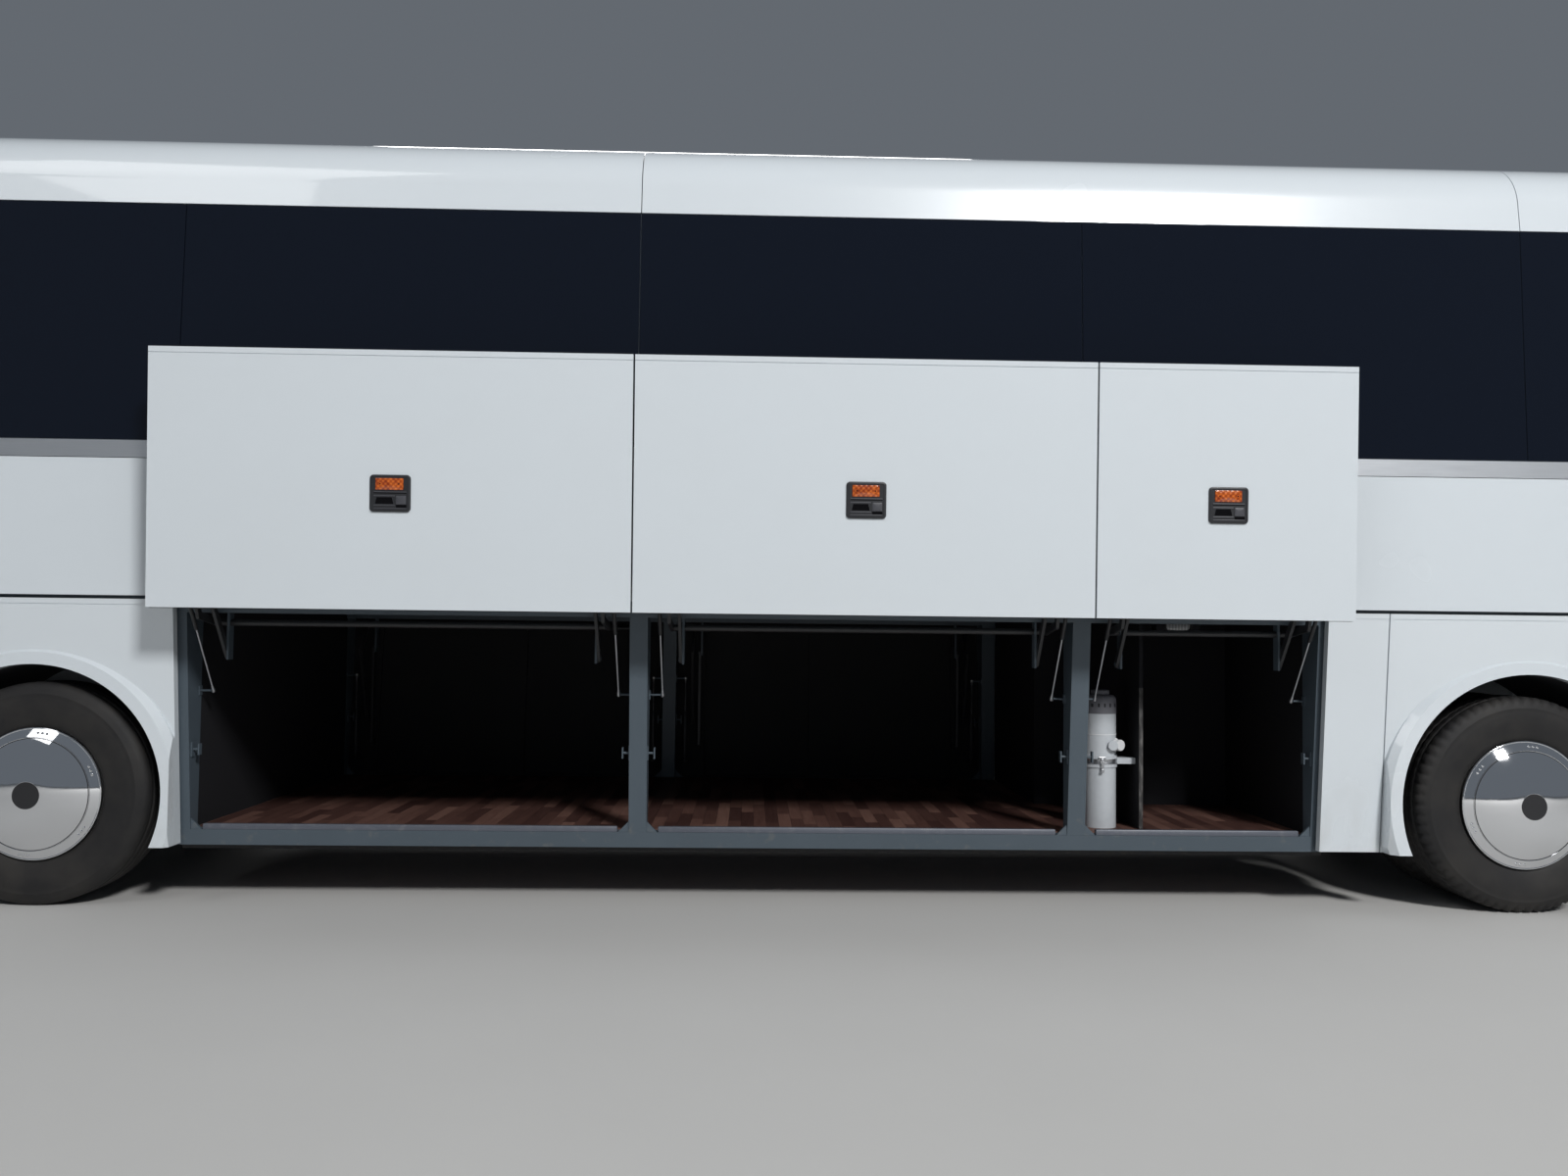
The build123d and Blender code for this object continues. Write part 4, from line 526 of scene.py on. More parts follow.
rubber = Finish("tyre_rubber", specular_ior_level=0.35)
scuff = rubber.noise(0.02, 6.0)
haze = rubber.noise(0.16, 4.0).ramp(0.3, 0.8)
clean = rubber.mix(scuff, (0.011, 0.011, 0.012), (0.021, 0.020, 0.020))
rubber.feed("Base Color", rubber.mix(haze * 0.5, clean, (0.045, 0.041, 0.036)))
rubber.feed("Roughness", scuff * 0.2 + 0.55)
rubber.bump(rubber.noise(0.002, 3.0), 0.0002)
for end, axle_x in AXLES.items():
    for hand, side in HANDS.items():
        tyre = bmesh.new()
        for middle in (OUTER_TYRE,) if end == "front" else (OUTER_TYRE, INNER_TYRE):
            joined(tyre, tyre_surface(axle_x, side * middle, end == "rear"), closed_u=True)
        piece = finished(f"{end}_{hand}_tyre", tyre, rubber, f"{end}_wheel_{hand}")
        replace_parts(piece, f"tyre_{end}_{hand}")


# Door locks: a black moulded housing in the middle of each luggage door, with an amber reflector held
# by two screws above a grip recess and a key flap. The grip recess, slots and screws are near black, painted
# shade; the ledges and key flap are a lighter grey, painted highlight; the reflector carries painted glints
# and painted glow. A lock's own (u, v, h) point along the coach, up the skin and out of it. Plates are given
# as in raised.
LOCK_Z = 0.781
HOUSING_WIDE_HALF, HOUSING_TALL_HALF, HOUSING_CORNER = 0.088, 0.081, 0.016
HOUSING_ROWS = ((None, -0.004), (0.004, -0.004), (0.0, 0.0), (0.0, 0.0055), (0.0015, 0.0078), (0.0045, 0.009),
                (0.0105, 0.009), (0.0125, 0.0072), (None, 0.0072))
GRIP_ROWS = ((None, 0.0065), (0.0, 0.0065), (0.0, 0.0076), (None, 0.0076))
GRIP_WIDE_HALF, GRIP_TALL_HALF, GRIP_CORNER, GRIP_TAPER = 0.037, 0.015, 0.003, 0.10
GRIP_PLACE = (-0.0245, -0.0315, 0.0)
LIP_ROWS = ((-0.002, 0.007), (-0.002, 0.0088), (0.001, 0.0088), (0.001, 0.007))
LIP_WIDER = 0.0005
SCREW_ROWS = ((0, 0.0085), (0.0032, 0.0085), (0.0032, 0.0118), (0.0022, 0.0124), (0, 0.0124))
SCREW_US, SCREW_V = (-0.042, 0.039), 0.0405
LEDGES = ((0.006, 0.0092, 0.142, 0.0042, 0.0, 0.0062, 0.001),
          (0.006, 0.0092, 0.142, 0.0040, 0.0, -0.0655, 0.001),
          (0.006, 0.0092, 0.092, 0.0050, -0.0245, -0.0110, 0.001),
          (0.006, 0.0092, 0.092, 0.0050, -0.0245, -0.0520, 0.001),
          (0.006, 0.0096, 0.043, 0.038, 0.0480, -0.0290, 0.004))
SLOTS = ((0.006, 0.0075, 0.142, 0.004, 0.0, 0.0015, 0.001, 0.0003),
         (0.006, 0.0078, 0.046, 0.012, 0.049, -0.0555, 0.002, 0.0003))
REFLECTOR = (0.006, 0.0118, 0.120, 0.051, -0.0025, 0.0405, 0.003, 0.0025)
PRISM = 0.0035


def outline(a, b, r, arc=5):
    """A rounded rectangle of half sizes a and b: four quarter circles of radius r, with three points on
    each straight run between them."""
    signs = ((1, 1), (-1, 1), (-1, -1), (1, -1))
    way = np.linspace(0, 1, 5)[1:-1, None]
    parts = []
    for quarter, (su, sv) in enumerate(signs):
        angle = np.linspace(0, pi / 2, arc) + quarter * pi / 2
        corner = np.stack([su * (a - r) + r * np.cos(angle), sv * (b - r) + r * np.sin(angle)], -1)
        next_su, next_sv = signs[(quarter + 1) % 4]
        last = (quarter + 1) * pi / 2
        end = np.array([next_su * (a - r) + r * cos(last), next_sv * (b - r) + r * sin(last)])
        parts += [corner, corner[-1] + (end - corner[-1]) * way]
    return np.concatenate(parts)


def moulded(rows, a, b, r):
    """Rounded rectangles stacked by rows of (inset, height): each is the outline less its inset. A row
    whose inset is None shrinks to the middle and closes the form."""
    rings = []
    for inset, height in rows:
        ring = outline(a, b, r) * 0 if inset is None else outline(a - inset, b - inset, max(r - inset, 1e-5))
        rings.append(np.column_stack([ring, np.full(len(ring), height)]))
    return np.stack(rings)


def raised(low, high, wide, tall, u, v, r, soft=0.0015):
    """A small plate between two heights, with its size, its place, its corners' radius and how far its
    upper edge is softened."""
    rows = ((None, low), (0.0, low), (0.0, high - soft), (soft * 0.3, high - soft * 0.3), (soft, high),
            (None, high))
    return moulded(rows, wide / 2, tall / 2, r) + np.array((u, v, 0.0))


def turned(rows, sides=24):
    """A surface of revolution about h from rows of (radius, height)."""
    rows = np.array(rows, float)
    angle = np.linspace(0, 2 * pi, sides, endpoint=False)
    return np.stack([rows[:, :1] * np.cos(angle), rows[:, :1] * np.sin(angle),
                     np.broadcast_to(rows[:, 1:], (len(rows), sides))], -1)


def stood(points, centre, facing):
    """Carries (u, v, h) points to a centre with h along facing, u level and v up along the face."""
    h = np.array(facing, float)
    h /= np.linalg.norm(h)
    u = np.array((1.0, 0.0, 0.0)) if abs(h[2]) > 0.999 else np.cross((0, 0, 1), h)
    u /= np.linalg.norm(u)
    return np.array(centre) + points @ np.stack([u, np.cross(h, u), h])


def build(name, grids, finish, body, loops=(), sharp=35):
    """One piece from grids whose columns close round, their ends shrunk to points, and from loops whose
    rows close too."""
    made = bmesh.new()
    for points in grids:
        joined(made, points, closed_v=True)
    for points in loops:
        joined(made, points, closed_u=True, closed_v=True)
    bmesh.ops.remove_doubles(made, verts=made.verts, dist=2e-6)
    return finished(name, made, finish, body, sharp)


def grip_form(rows, wider):
    """A form of the grip's outline, drawn in towards its top, in its place in the lock."""
    form = moulded(rows, GRIP_WIDE_HALF + wider, GRIP_TALL_HALF + wider, GRIP_CORNER)
    form[..., 0] *= 1 - GRIP_TAPER * form[..., 1] / GRIP_TALL_HALF
    return form + np.array(GRIP_PLACE)


lock_plastic = grained("lock_plastic", 0.0012, 3.0, (0.016, 0.017, 0.020), (0.030, 0.031, 0.035), 0.34, 0.12,
                       0.00006, specular_ior_level=0.45)
# Ledges and key flap: the black moulding painted a lighter grey, painted highlight.
ledge_highlight = grained("lock_ledge_highlight", 0.0012, 3.0, (0.050, 0.051, 0.060), (0.080, 0.081, 0.092), 0.35, 0.1,
                specular_ior_level=0.5)
# Near black without sheen: painted shade in the locks' grip recess, slots and screws and behind the louvre
# slats.
painted_shade_black = Finish("lock_recess_shade", roughness=0.9, specular_ior_level=0.1)
painted_shade_black.feed("Base Color", painted_shade_black.mix(painted_shade_black.noise(0.004), (0.002, 0.002, 0.003), (0.004, 0.004, 0.005)))
amber = Finish("amber_reflector", coat_weight=1.0, coat_roughness=0.04, specular_ior_level=0.6)
# The prism pattern gives the relief and also lightens and darkens the amber as painted glints; noise patches
# add painted glow.
prism_relief_and_glint = ((amber.x / PRISM).maths("SINE") * (amber.z / PRISM).maths("SINE")).ramp(-0.6, 0.9)
painted_glow = amber.noise(0.03, 2.0).ramp(0.35, 0.7)
amber.feed("Base Color", amber.mix(prism_relief_and_glint * 0.5 + painted_glow * 0.4, (0.26, 0.030, 0.002), (0.80, 0.18, 0.014)))
amber.feed("Roughness", prism_relief_and_glint * 0.1 + 0.15)
amber.bump(prism_relief_and_glint, 0.0003)
housing = moulded(HOUSING_ROWS, HOUSING_WIDE_HALF, HOUSING_TALL_HALF, HOUSING_CORNER)
screws = [turned(SCREW_ROWS, 12) + np.array((u, SCREW_V, 0.0)) for u in SCREW_US]
recess = [grip_form(GRIP_ROWS, 0.0)] + [raised(*slot) for slot in SLOTS] + screws
LOCK_PIECES = {"lock_ledges_highlit": ([raised(*row) for row in LEDGES], ledge_highlight, "mirror_black", []),
               "lock_housing": ([housing], lock_plastic, "mirror_black", [grip_form(LIP_ROWS, LIP_WIDER)]),
               "lock_recess_shade": (recess, painted_shade_black, "mirror_black", []),
               "reflector": ([raised(*REFLECTOR)], amber, "lamp_lens", [])}
for door, (side, x0, x1) in DOORS.items():
    (y, z), facing = on_door(side, LOCK_Z)
    centre = ((x0 + x1) / 2, y, z)
    for name, (grids, finish, slot, loops) in LOCK_PIECES.items():
        build(f"{name}_{door}", [stood(points, centre, facing) for points in grids], finish,
              f"luggage_door_{door}", [stood(points, centre, facing) for points in loops])

# Door seals: a hollow black rubber section glued round the inner face of each luggage door.
SEAL_ROWS = ((0.0, -0.001), (0.012, -0.001), (0.012, 0.002), (0.0095, 0.0058), (0.006, 0.0072),
             (0.0025, 0.0058), (0.0, 0.002))
SEAL_MARGIN, SEAL_TALL_HALF, SEAL_CORNER = 0.012, 0.548, 0.03
DOOR_MIDDLE_Z, DOOR_DEPTH = 0.840, 0.045
seal = grained("door_seal_rubber", 0.02, 5.0, (0.012, 0.012, 0.013), (0.028, 0.027, 0.026), 0.6, 0.2,
               specular_ior_level=0.3)
seal.bump(seal.noise(0.002, 2.0), 0.0001)
for door, (side, x0, x1) in DOORS.items():
    (y, z), facing = on_door(side, DOOR_MIDDLE_Z, DOOR_DEPTH)
    ring = moulded(SEAL_ROWS, (x1 - x0) / 2 - SEAL_MARGIN, SEAL_TALL_HALF, SEAL_CORNER)
    build(f"seal_{door}", [], seal, f"luggage_door_{door}",
          [stood(ring, ((x0 + x1) / 2, y, z), [-part for part in facing])])

# Edge strips of the bay floors: grey anodised sections screwed along the mouth of each bay.
BAYS = ((-3.047, -1.020), (-0.937, 1.049), (1.133, 2.213))
STRIP_ROWS = ((None, 0.0), (0.0, 0.0), (0.0, 0.021), (0.002, 0.0245), (0.006, 0.026), (None, 0.026))
STRIP_END, STRIP_DEEP_HALF, STRIP_CORNER = 0.054, 0.013, 0.004
STRIP_Y, STRIP_Z = -1.099, 0.3405
edging = Finish("grey_edge_strip", metallic=0.2)
brushed = edging.noise(0.0015, 2.0, (0.02, 1, 1))
worn = edging.noise(0.05, 5.0).ramp(0.5, 0.8)
fresh = edging.mix(brushed, (0.090, 0.100, 0.125), (0.120, 0.130, 0.155))
edging.feed("Base Color", edging.mix(worn * 0.4, fresh, (0.22, 0.22, 0.23)))
edging.feed("Roughness", brushed * 0.15 + 0.35)
strips = []
for x0, x1 in BAYS:
    section = moulded(STRIP_ROWS, (x1 - x0) / 2 - STRIP_END, STRIP_DEEP_HALF, STRIP_CORNER)
    strips.append(stood(section, ((x0 + x1) / 2, STRIP_Y, STRIP_Z), (0, 0, 1)))
build("bay_edge_strips", strips, edging, "coach_body")

# Gas struts: a ground rod whose end eye sits on the pillar's stud, in a black cylinder held by the door.
# The left doors' struts stand as open and the right doors' as closed: the length between the eyes, and
# the way from the stud to the door's eye.
STRUT_Y, STRUT_Z, STRUT_INSET = 1.055, 0.980, 0.062
STRUTS = {-1: (0.66388, (0.0, -0.564320, 0.825556)), 1: (0.53008, (0.0, 0.017295, -0.999850))}
ROD_ROWS = ((0, -0.0105), (0.0055, -0.0105), (0.0095, -0.006), (0.0095, 0.007), (0.0062, 0.013),
            (0.0062, 0.024), (0.0042, 0.027), (0.0042, 0.499), (0, 0.500))
CYLINDER_ROWS = ((0.0048, -0.315), (0.0075, -0.317), (0.0092, -0.313), (0.0092, -0.032), (0.0080, -0.026),
                 (0.0045, -0.023), (0.0045, -0.013), (0.0088, -0.008), (0.0088, 0.007), (0.0050, 0.0105),
                 (0, 0.0105), (0, -0.022), (0.0048, -0.024))
for door, (side, _, _) in DOORS.items():
    span, way = STRUTS[side]
    front, rear = BAYS[int(door[-1]) - 1]
    feet = [np.array((x, side * STRUT_Y, STRUT_Z)) for x in (front + STRUT_INSET, rear - STRUT_INSET)]
    rods = [stood(turned(ROD_ROWS, 16), foot, way) for foot in feet]
    cylinders = [stood(turned(CYLINDER_ROWS, 20), foot + span * np.array(way), way) for foot in feet]
    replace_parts(build(f"strut_rods_{door}", rods, rod, f"strut_tube_{door}"),
                f"strut_tube_{door}")
    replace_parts(build(f"strut_cylinders_{door}", [], satin, f"strut_rod_{door}", cylinders),
                f"strut_rod_{door}")

# Fittings of the vacuum canister: motor head of dark plastic painted a lighter grey, painted light, with
# painted shade in its vent slots, white inlet valve with its cap, clamp band and latch.
CANISTER = np.array((1.277, -0.860, 0.0))
CAN_R = 0.078
HEAD_R, HEAD_FOOT_Z, SHOULDER_R, SHOULDER_Z = CAN_R + 0.0012, 0.902, CAN_R - 0.001, 0.972
HEAD_ROWS = [(0, HEAD_FOOT_Z), (HEAD_R, HEAD_FOOT_Z), (HEAD_R, 0.962), (SHOULDER_R, SHOULDER_Z)]
HEAD_ROWS += [(SHOULDER_R - 0.020 * (1 - cos(turn)), SHOULDER_Z + 0.022 * sin(turn))
              for turn in np.linspace(0.3, pi / 2, 5)]
HEAD_ROWS += [(0.047, 0.996), (0.045, 1.014), (0.040, 1.018), (0, 1.018)]
VENT_PITCH, VENT_Z, VENT_HALF = 0.0045, 0.944, 0.009
VALVE_ROWS = ((0, 0.0), (0.034, 0.0), (0.034, 0.010), (0.024, 0.014), (0.022, 0.020), (0.022, 0.032),
              (0.0265, 0.034), (0.0275, 0.038), (0.0275, 0.048), (0.0255, 0.0515), (0, 0.0525))
VALVE_FOOT, VALVE_WAY = (0.056, -0.038, 0.750), (0.50, -0.866, 0.0)
COLLAR_ROWS = ((CAN_R, 0.055), (CAN_R + 0.0014, 0.055), (CAN_R + 0.0014, 0.059), (CAN_R, 0.059))
COLLAR_Z, BAND_Z = 0.744, 0.670
BAND_ROWS = [(CAN_R + out, up) for out, up in ((0.004, -0.012), (0.0075, -0.012), (0.0075, -0.007),
                                               (0.0062, -0.004), (0.0062, 0.004), (0.0075, 0.007),
                                               (0.0075, 0.012), (0.004, 0.012))]
LATCH_FOOT = (-0.012, -CAN_R - 0.005, BAND_Z)
LATCH_PLATES = ((0.0, 0.006, 0.034, 0.010, 0.0, 0.018, 0.002),
                (0.004, 0.010, 0.013, 0.052, 0.0, -0.010, 0.004),
                (0.0, 0.009, 0.022, 0.014, 0.0, -0.004, 0.003),
                (0.006, 0.013, 0.016, 0.018, 0.0, -0.044, 0.006))
head_plastic = Finish("motor_head_plastic", specular_ior_level=0.4)
head_grain = head_plastic.noise(0.003, 3.0)
# Vent slots painted near black: painted shade inside the slots.
vent_slot_shade = ((head_plastic.x / VENT_PITCH).maths("SINE") > 0.55) * (abs(head_plastic.z - VENT_Z) < VENT_HALF)
# The head's grey is lighter than its dark plastic: painted light that makes up for the shade the top of the
# bay's opening casts on it.
moulding_painted_light = head_plastic.mix(head_grain, (0.150, 0.150, 0.170), (0.190, 0.190, 0.210))
head_plastic.feed("Base Color", head_plastic.mix(vent_slot_shade, moulding_painted_light, (0.020, 0.020, 0.024)))
head_plastic.feed("Roughness", head_grain * 0.1 + 0.45)
head_plastic.bump(head_grain, 0.0001)
build("canister_head", [stood(turned(HEAD_ROWS, 48), CANISTER, (0, 0, 1))], head_plastic, "coach_body")
white_plastic = grained("white_valve_plastic", 0.02, 3.0, (0.70, 0.71, 0.72), (0.80, 0.81, 0.82), 0.35, 0.1,
                        coat_weight=0.3, coat_roughness=0.1)
build("canister_valve", [stood(turned(VALVE_ROWS, 32), CANISTER + VALVE_FOOT, VALVE_WAY)], white_plastic,
      "coach_body", [stood(turned(COLLAR_ROWS, 48), CANISTER + (0, 0, COLLAR_Z), (0, 0, 1))])
zinc = grained("zinc_fitting", 0.004, 4.0, (0.42, 0.43, 0.45), (0.60, 0.61, 0.63), 0.25, 0.15, metallic=1.0)
build("canister_latch", [stood(raised(*plate), CANISTER + LATCH_FOOT, (0, -1, 0)) for plate in LATCH_PLATES],
      zinc, "coach_body",
      [stood(turned(BAND_ROWS, 64), CANISTER + (0, 0, BAND_Z), (0, 0, 1))])

# Bay lamp: an oval lamp with a rubber rim on the front of a cable duct under the ceiling of the third bay.
DUCT = (1.690, -0.765, 1.337)
DUCT_ROWS = ((None, -0.035), (0.0, -0.035), (0.0, 0.030), (0.003, 0.034), (None, 0.034))
RIM_ROWS = ((0.0, 0.032), (0.0, 0.040), (0.003, 0.043), (0.009, 0.042), (0.012, 0.036), (0.012, 0.032))
LENS_ROWS = ((None, 0.030), (0.0, 0.030), (0.0, 0.036), (0.004, 0.0395), (0.012, 0.041), (None, 0.041))
LENS_RIB = 0.0025
frost = Finish("bay_lamp_lens", coat_weight=0.5, coat_roughness=0.1)
# The ribs give the relief and are painted lighter on their crests and darker in their troughs: painted shade.
rib_relief_and_shade = (frost.x / LENS_RIB).maths("SINE") * 0.5 + 0.5
frost.feed("Base Color", frost.mix(rib_relief_and_shade, (0.16, 0.165, 0.17), (0.26, 0.265, 0.27)))
frost.feed("Roughness", rib_relief_and_shade * 0.1 + 0.2)
frost.bump(rib_relief_and_shade, 0.0004)
duct, rim, bulge = (stood(moulded(rows, a, b, r), DUCT, (0, -1, 0)) for rows, a, b, r in (
    (DUCT_ROWS, 0.11, 0.045, 0.008), (RIM_ROWS, 0.073, 0.034, 0.034), (LENS_ROWS, 0.062, 0.023, 0.023)))
build("bay_lamp_duct", [duct], felt, "coach_body")
build("bay_lamp_rim", [], seal, "coach_body", [rim])
build("bay_lamp_glass", [bulge], frost, "coach_body")

# Trims of the wheel caps: a black rubber ring in the groove round the dome, painted shade in the groove, a
# rolled bead at its edge and six sets of three rivets. The dome's height follows the arc through the cap's
# edge, its haunch and its middle disc.
CAP_EDGE, CAP_HAUNCH, CAP_DISC = (0.299, 0.139), (0.200, 0.1824), (0.062, 0.209)
EDGE_BEAD, EDGE_BEAD_IN, EDGE_BEAD_SUNK, THIN_BEAD = 0.0048, 0.0015, 0.001, 0.0018
GROOVE_R, BESIDE_GROOVE_R, GROOVE_SUNK = 0.2535, 0.2577, 0.0004
RIVET_SETS, RIVET_R, RIVET_TURN, RIVET_STEP = 6, 0.2770, 23, 4.2
RIVET_ROWS = ((0, -0.004), (0.0065, -0.004), (0.0065, 0.0012), (0.0045, 0.0034), (0, 0.0042))
(ax, ay), (bx, by), (cx, cy) = CAP_EDGE, CAP_HAUNCH, CAP_DISC
arc = np.linalg.solve([[2 * (bx - ax), 2 * (by - ay)], [2 * (cx - ax), 2 * (cy - ay)]],
                      [bx * bx - ax * ax + by * by - ay * ay, cx * cx - ax * ax + cy * cy - ay * ay])
arc_r = np.hypot(ax - arc[0], ay - arc[1])


def dome_height(radius):
    """How far the cap's dome stands outside the wheel's middle at a radius."""
    return arc[1] + np.sqrt(arc_r ** 2 - (radius - arc[0]) ** 2)


def hoop(radius, height, thick, sides=96, around=8):
    """A ring of round section: rows go round the section."""
    turn = np.linspace(0, 2 * pi, around, endpoint=False)
    return turned(np.stack([radius + thick * np.cos(turn), height + thick * np.sin(turn)], -1), sides)


polish = Finish("polished_trim", metallic=1.0, base_color=(0.82, 0.83, 0.85, 1))
polish.feed("Roughness", polish.noise(0.03, 4.0) * 0.06 + 0.04)
beads = (hoop(CAP_EDGE[0] - EDGE_BEAD_IN, CAP_EDGE[1] - EDGE_BEAD_SUNK, EDGE_BEAD),
         hoop(BESIDE_GROOVE_R, dome_height(BESIDE_GROOVE_R), THIN_BEAD))
# A black ring sunk in the groove: painted shade.
groove_shade_ring = hoop(GROOVE_R, dome_height(GROOVE_R) - GROOVE_SUNK, THIN_BEAD)
rivets = []
for turn in range(RIVET_SETS):
    for step in (-1, 0, 1):
        angle = radians(RIVET_TURN + 360 / RIVET_SETS * turn + RIVET_STEP * step)
        place = (RIVET_R * cos(angle), RIVET_R * sin(angle), dome_height(RIVET_R))
        rivets.append(turned(RIVET_ROWS, 12) + np.array(place))
for end, axle_x in AXLES.items():
    for hand, side in HANDS.items():
        middle, facing, body = (axle_x, side * OUTER_TYRE, AXLE_Z), (0, side, 0), f"{end}_wheel_{hand}"
        build(f"cap_bright_{end}_{hand}", [stood(rivet, middle, facing) for rivet in rivets], polish, body,
              [stood(bead, middle, facing) for bead in beads])
        build(f"cap_groove_shade_{end}_{hand}", [], seal, body, [stood(groove_shade_ring, middle, facing)])

# Seats: foam under plush, each cushion crowned, drawn in along its sides and stitched across in channels,
# with piping round its front edge. The frames under them are powder-coated steel. Each place is the x and
# y of its middle, its width and the height of the floor under it.
SEAT_FIRST, SEAT_PITCH, CABIN_TOP = -4.250, 0.830, 1.480
SEAT_ROWS, SEAT_WIDE = 12, 0.44
BENCH_LEFT, BENCH_RIGHT, BENCH_WIDE = -1.130, 0.250, 0.880
NO_SEAT_RIGHT = (0.73, 1.56, 2.39)
DRIVER_SEAT = (-5.420, -0.650, 0.480, 1.040)
BENCHES = [(SEAT_FIRST + SEAT_PITCH * row, y0) for row in range(SEAT_ROWS) for y0 in (BENCH_LEFT, BENCH_RIGHT)
           if y0 < 0 or min(abs(SEAT_FIRST + SEAT_PITCH * row - x) for x in NO_SEAT_RIGHT) > 0.01]
SEAT_PLACES = [(x, y0 + SEAT_WIDE * (place + 0.5), 0.420, CABIN_TOP) for x, y0 in BENCHES for place in (0, 1)]
SEAT_PLACES.append(DRIVER_SEAT)
ROUND, CROWN, WAIST, STITCH_DEEP, STITCH_WIDE = 0.028, 0.012, 0.008, 0.007, 0.009
CUSHION_LONG, CUSHION_THICK, CUSHION_CHANNELS = 0.475, 0.118, (-0.08, 0.06)
CUSHION_UP, CUSHION_FACING = 0.382, (0.04, 0, 1)
BACK_LONG, BACK_THICK, BACK_CHANNELS = 0.780, 0.088, (-0.20, -0.05, 0.10, 0.25)
BACK_BEHIND, BACK_UP, BACK_FACING = 0.316, 0.768, (-0.755, 0, 0.21)
PIPE_R, PIPE_INSET, PIPE_TALL_HALF, PIPE_CORNER = 0.004, 0.004, 0.052, 0.025
PIPE_AHEAD, PIPE_UP, PIPE_FACING = 0.222, 0.380, (-1, 0, 0.04)

# Boxes of the frames, in metres from the bench's x and the floor: front and rear, then how far in from
# the bench's ends, or half the width of an arm rest's part, then low and high, and the corners' radius.
PEDESTAL, SHELF = (-0.16, 0.16, 0.12, 0.0, 0.327, 0.006), (-0.10, 0.24, 0.01, 0.325, 0.345, 0.004)
ARM_REST, ARM_POST = (0.02, 0.30, 0.010, 0.60, 0.63, 0.008), (0.20, 0.24, 0.008, 0.34, 0.61, 0.006)
ARM_INSET = 0.012
DRIVER_FRAME = ((-5.58, -5.26, -0.78, -0.52, 1.040, 1.367, 0.006),
                (-5.52, -5.18, -0.89, -0.41, 1.365, 1.385, 0.004))


def foam(wide, long, thick, channels):
    """Rounded rectangles over v, the length: their half width loses WAIST * cos(pi v / long) squared, their
    ends draw in by a circle of radius ROUND, and the top gains a crown of cosines and loses each stitch."""
    near = np.array((-0.016, -0.008, 0, 0.008, 0.016))
    steps = long / 2 * np.sin(np.linspace(-pi / 2, pi / 2, 13))
    steps = np.unique(np.concatenate([steps] + [channel + near for channel in channels]))
    rings = []
    for v in np.concatenate([[-long / 2], steps, [long / 2]]):
        left = max(ROUND - (long / 2 - abs(v)), 0)
        drawn = ROUND - np.sqrt(ROUND ** 2 - left ** 2) + WAIST * cos(pi * v / long) ** 2
        ring = outline(wide / 2 - drawn, thick / 2 - drawn, ROUND * 0.9, arc=4)
        top = ring[:, 1] > 0
        swell = CROWN * np.cos(pi * ring[:, 0] / wide) * cos(pi * v / long / 1.05)
        stitch = STITCH_DEEP * sum(np.exp(-((v - channel) / STITCH_WIDE) ** 2) for channel in channels)
        height = ring[:, 1] + top * (swell - stitch)
        rings.append(np.column_stack([ring[:, 0], np.full(len(ring), v), height]))
    for last in (0, -1):
        rings[last] = np.broadcast_to(rings[last].mean(0), rings[last].shape)
    return np.stack(rings)


def block(x0, x1, y0, y1, z0, z1, r):
    """A box with rounded upright edges and softened rims."""
    rows = ((None, z0), (r / 2, z0), (0.0, z0 + r / 2), (0.0, z1 - r / 2), (r / 2, z1), (None, z1))
    return moulded(rows, (x1 - x0) / 2, (y1 - y0) / 2, r) + np.array(((x0 + x1) / 2, (y0 + y1) / 2, 0.0))


cushions, frames, piping = [], [], []
for x, y, wide, z in SEAT_PLACES:
    cushion = foam(wide, CUSHION_LONG, CUSHION_THICK, CUSHION_CHANNELS)
    cushions.append(stood(cushion, (x, y, z + CUSHION_UP), CUSHION_FACING))
    back = foam(wide, BACK_LONG, BACK_THICK, BACK_CHANNELS)
    cushions.append(stood(back, (x + BACK_BEHIND, y, z + BACK_UP), BACK_FACING))
    edge = outline(wide / 2 - PIPE_INSET, PIPE_TALL_HALF, PIPE_CORNER)
    edge = np.column_stack([edge, np.zeros(len(edge))])
    ring = np.stack([edge + PIPE_R * np.array((0, sin(turn), cos(turn)))
                     for turn in np.linspace(0, 2 * pi, 6, endpoint=False)])
    piping.append(stood(ring, (x - PIPE_AHEAD, y, z + PIPE_UP), PIPE_FACING))
for x, y0 in BENCHES:
    y1, z = y0 + BENCH_WIDE, CABIN_TOP
    for front, rear, inset, low, high, r in (PEDESTAL, SHELF):
        frames.append(block(x + front, x + rear, y0 + inset, y1 - inset, z + low, z + high, r))
    for y in (y0 + ARM_INSET, y1 - ARM_INSET):
        for front, rear, half, low, high, r in (ARM_REST, ARM_POST):
            frames.append(block(x + front, x + rear, y - half, y + half, z + low, z + high, r))
frames += [block(*box) for box in DRIVER_FRAME]
build("seat_cushions", cushions, plush, "coach_body", sharp=60)
powder = grained("seat_frame_coat", 0.003, 2.0, (0.045, 0.046, 0.050), (0.060, 0.061, 0.066), 0.4, 0.1,
                 0.00006, specular_ior_level=0.5)
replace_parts(build("seat_frames", frames, powder, "coach_body"), "seats")
build("seat_piping", [], seal, "coach_body", piping)

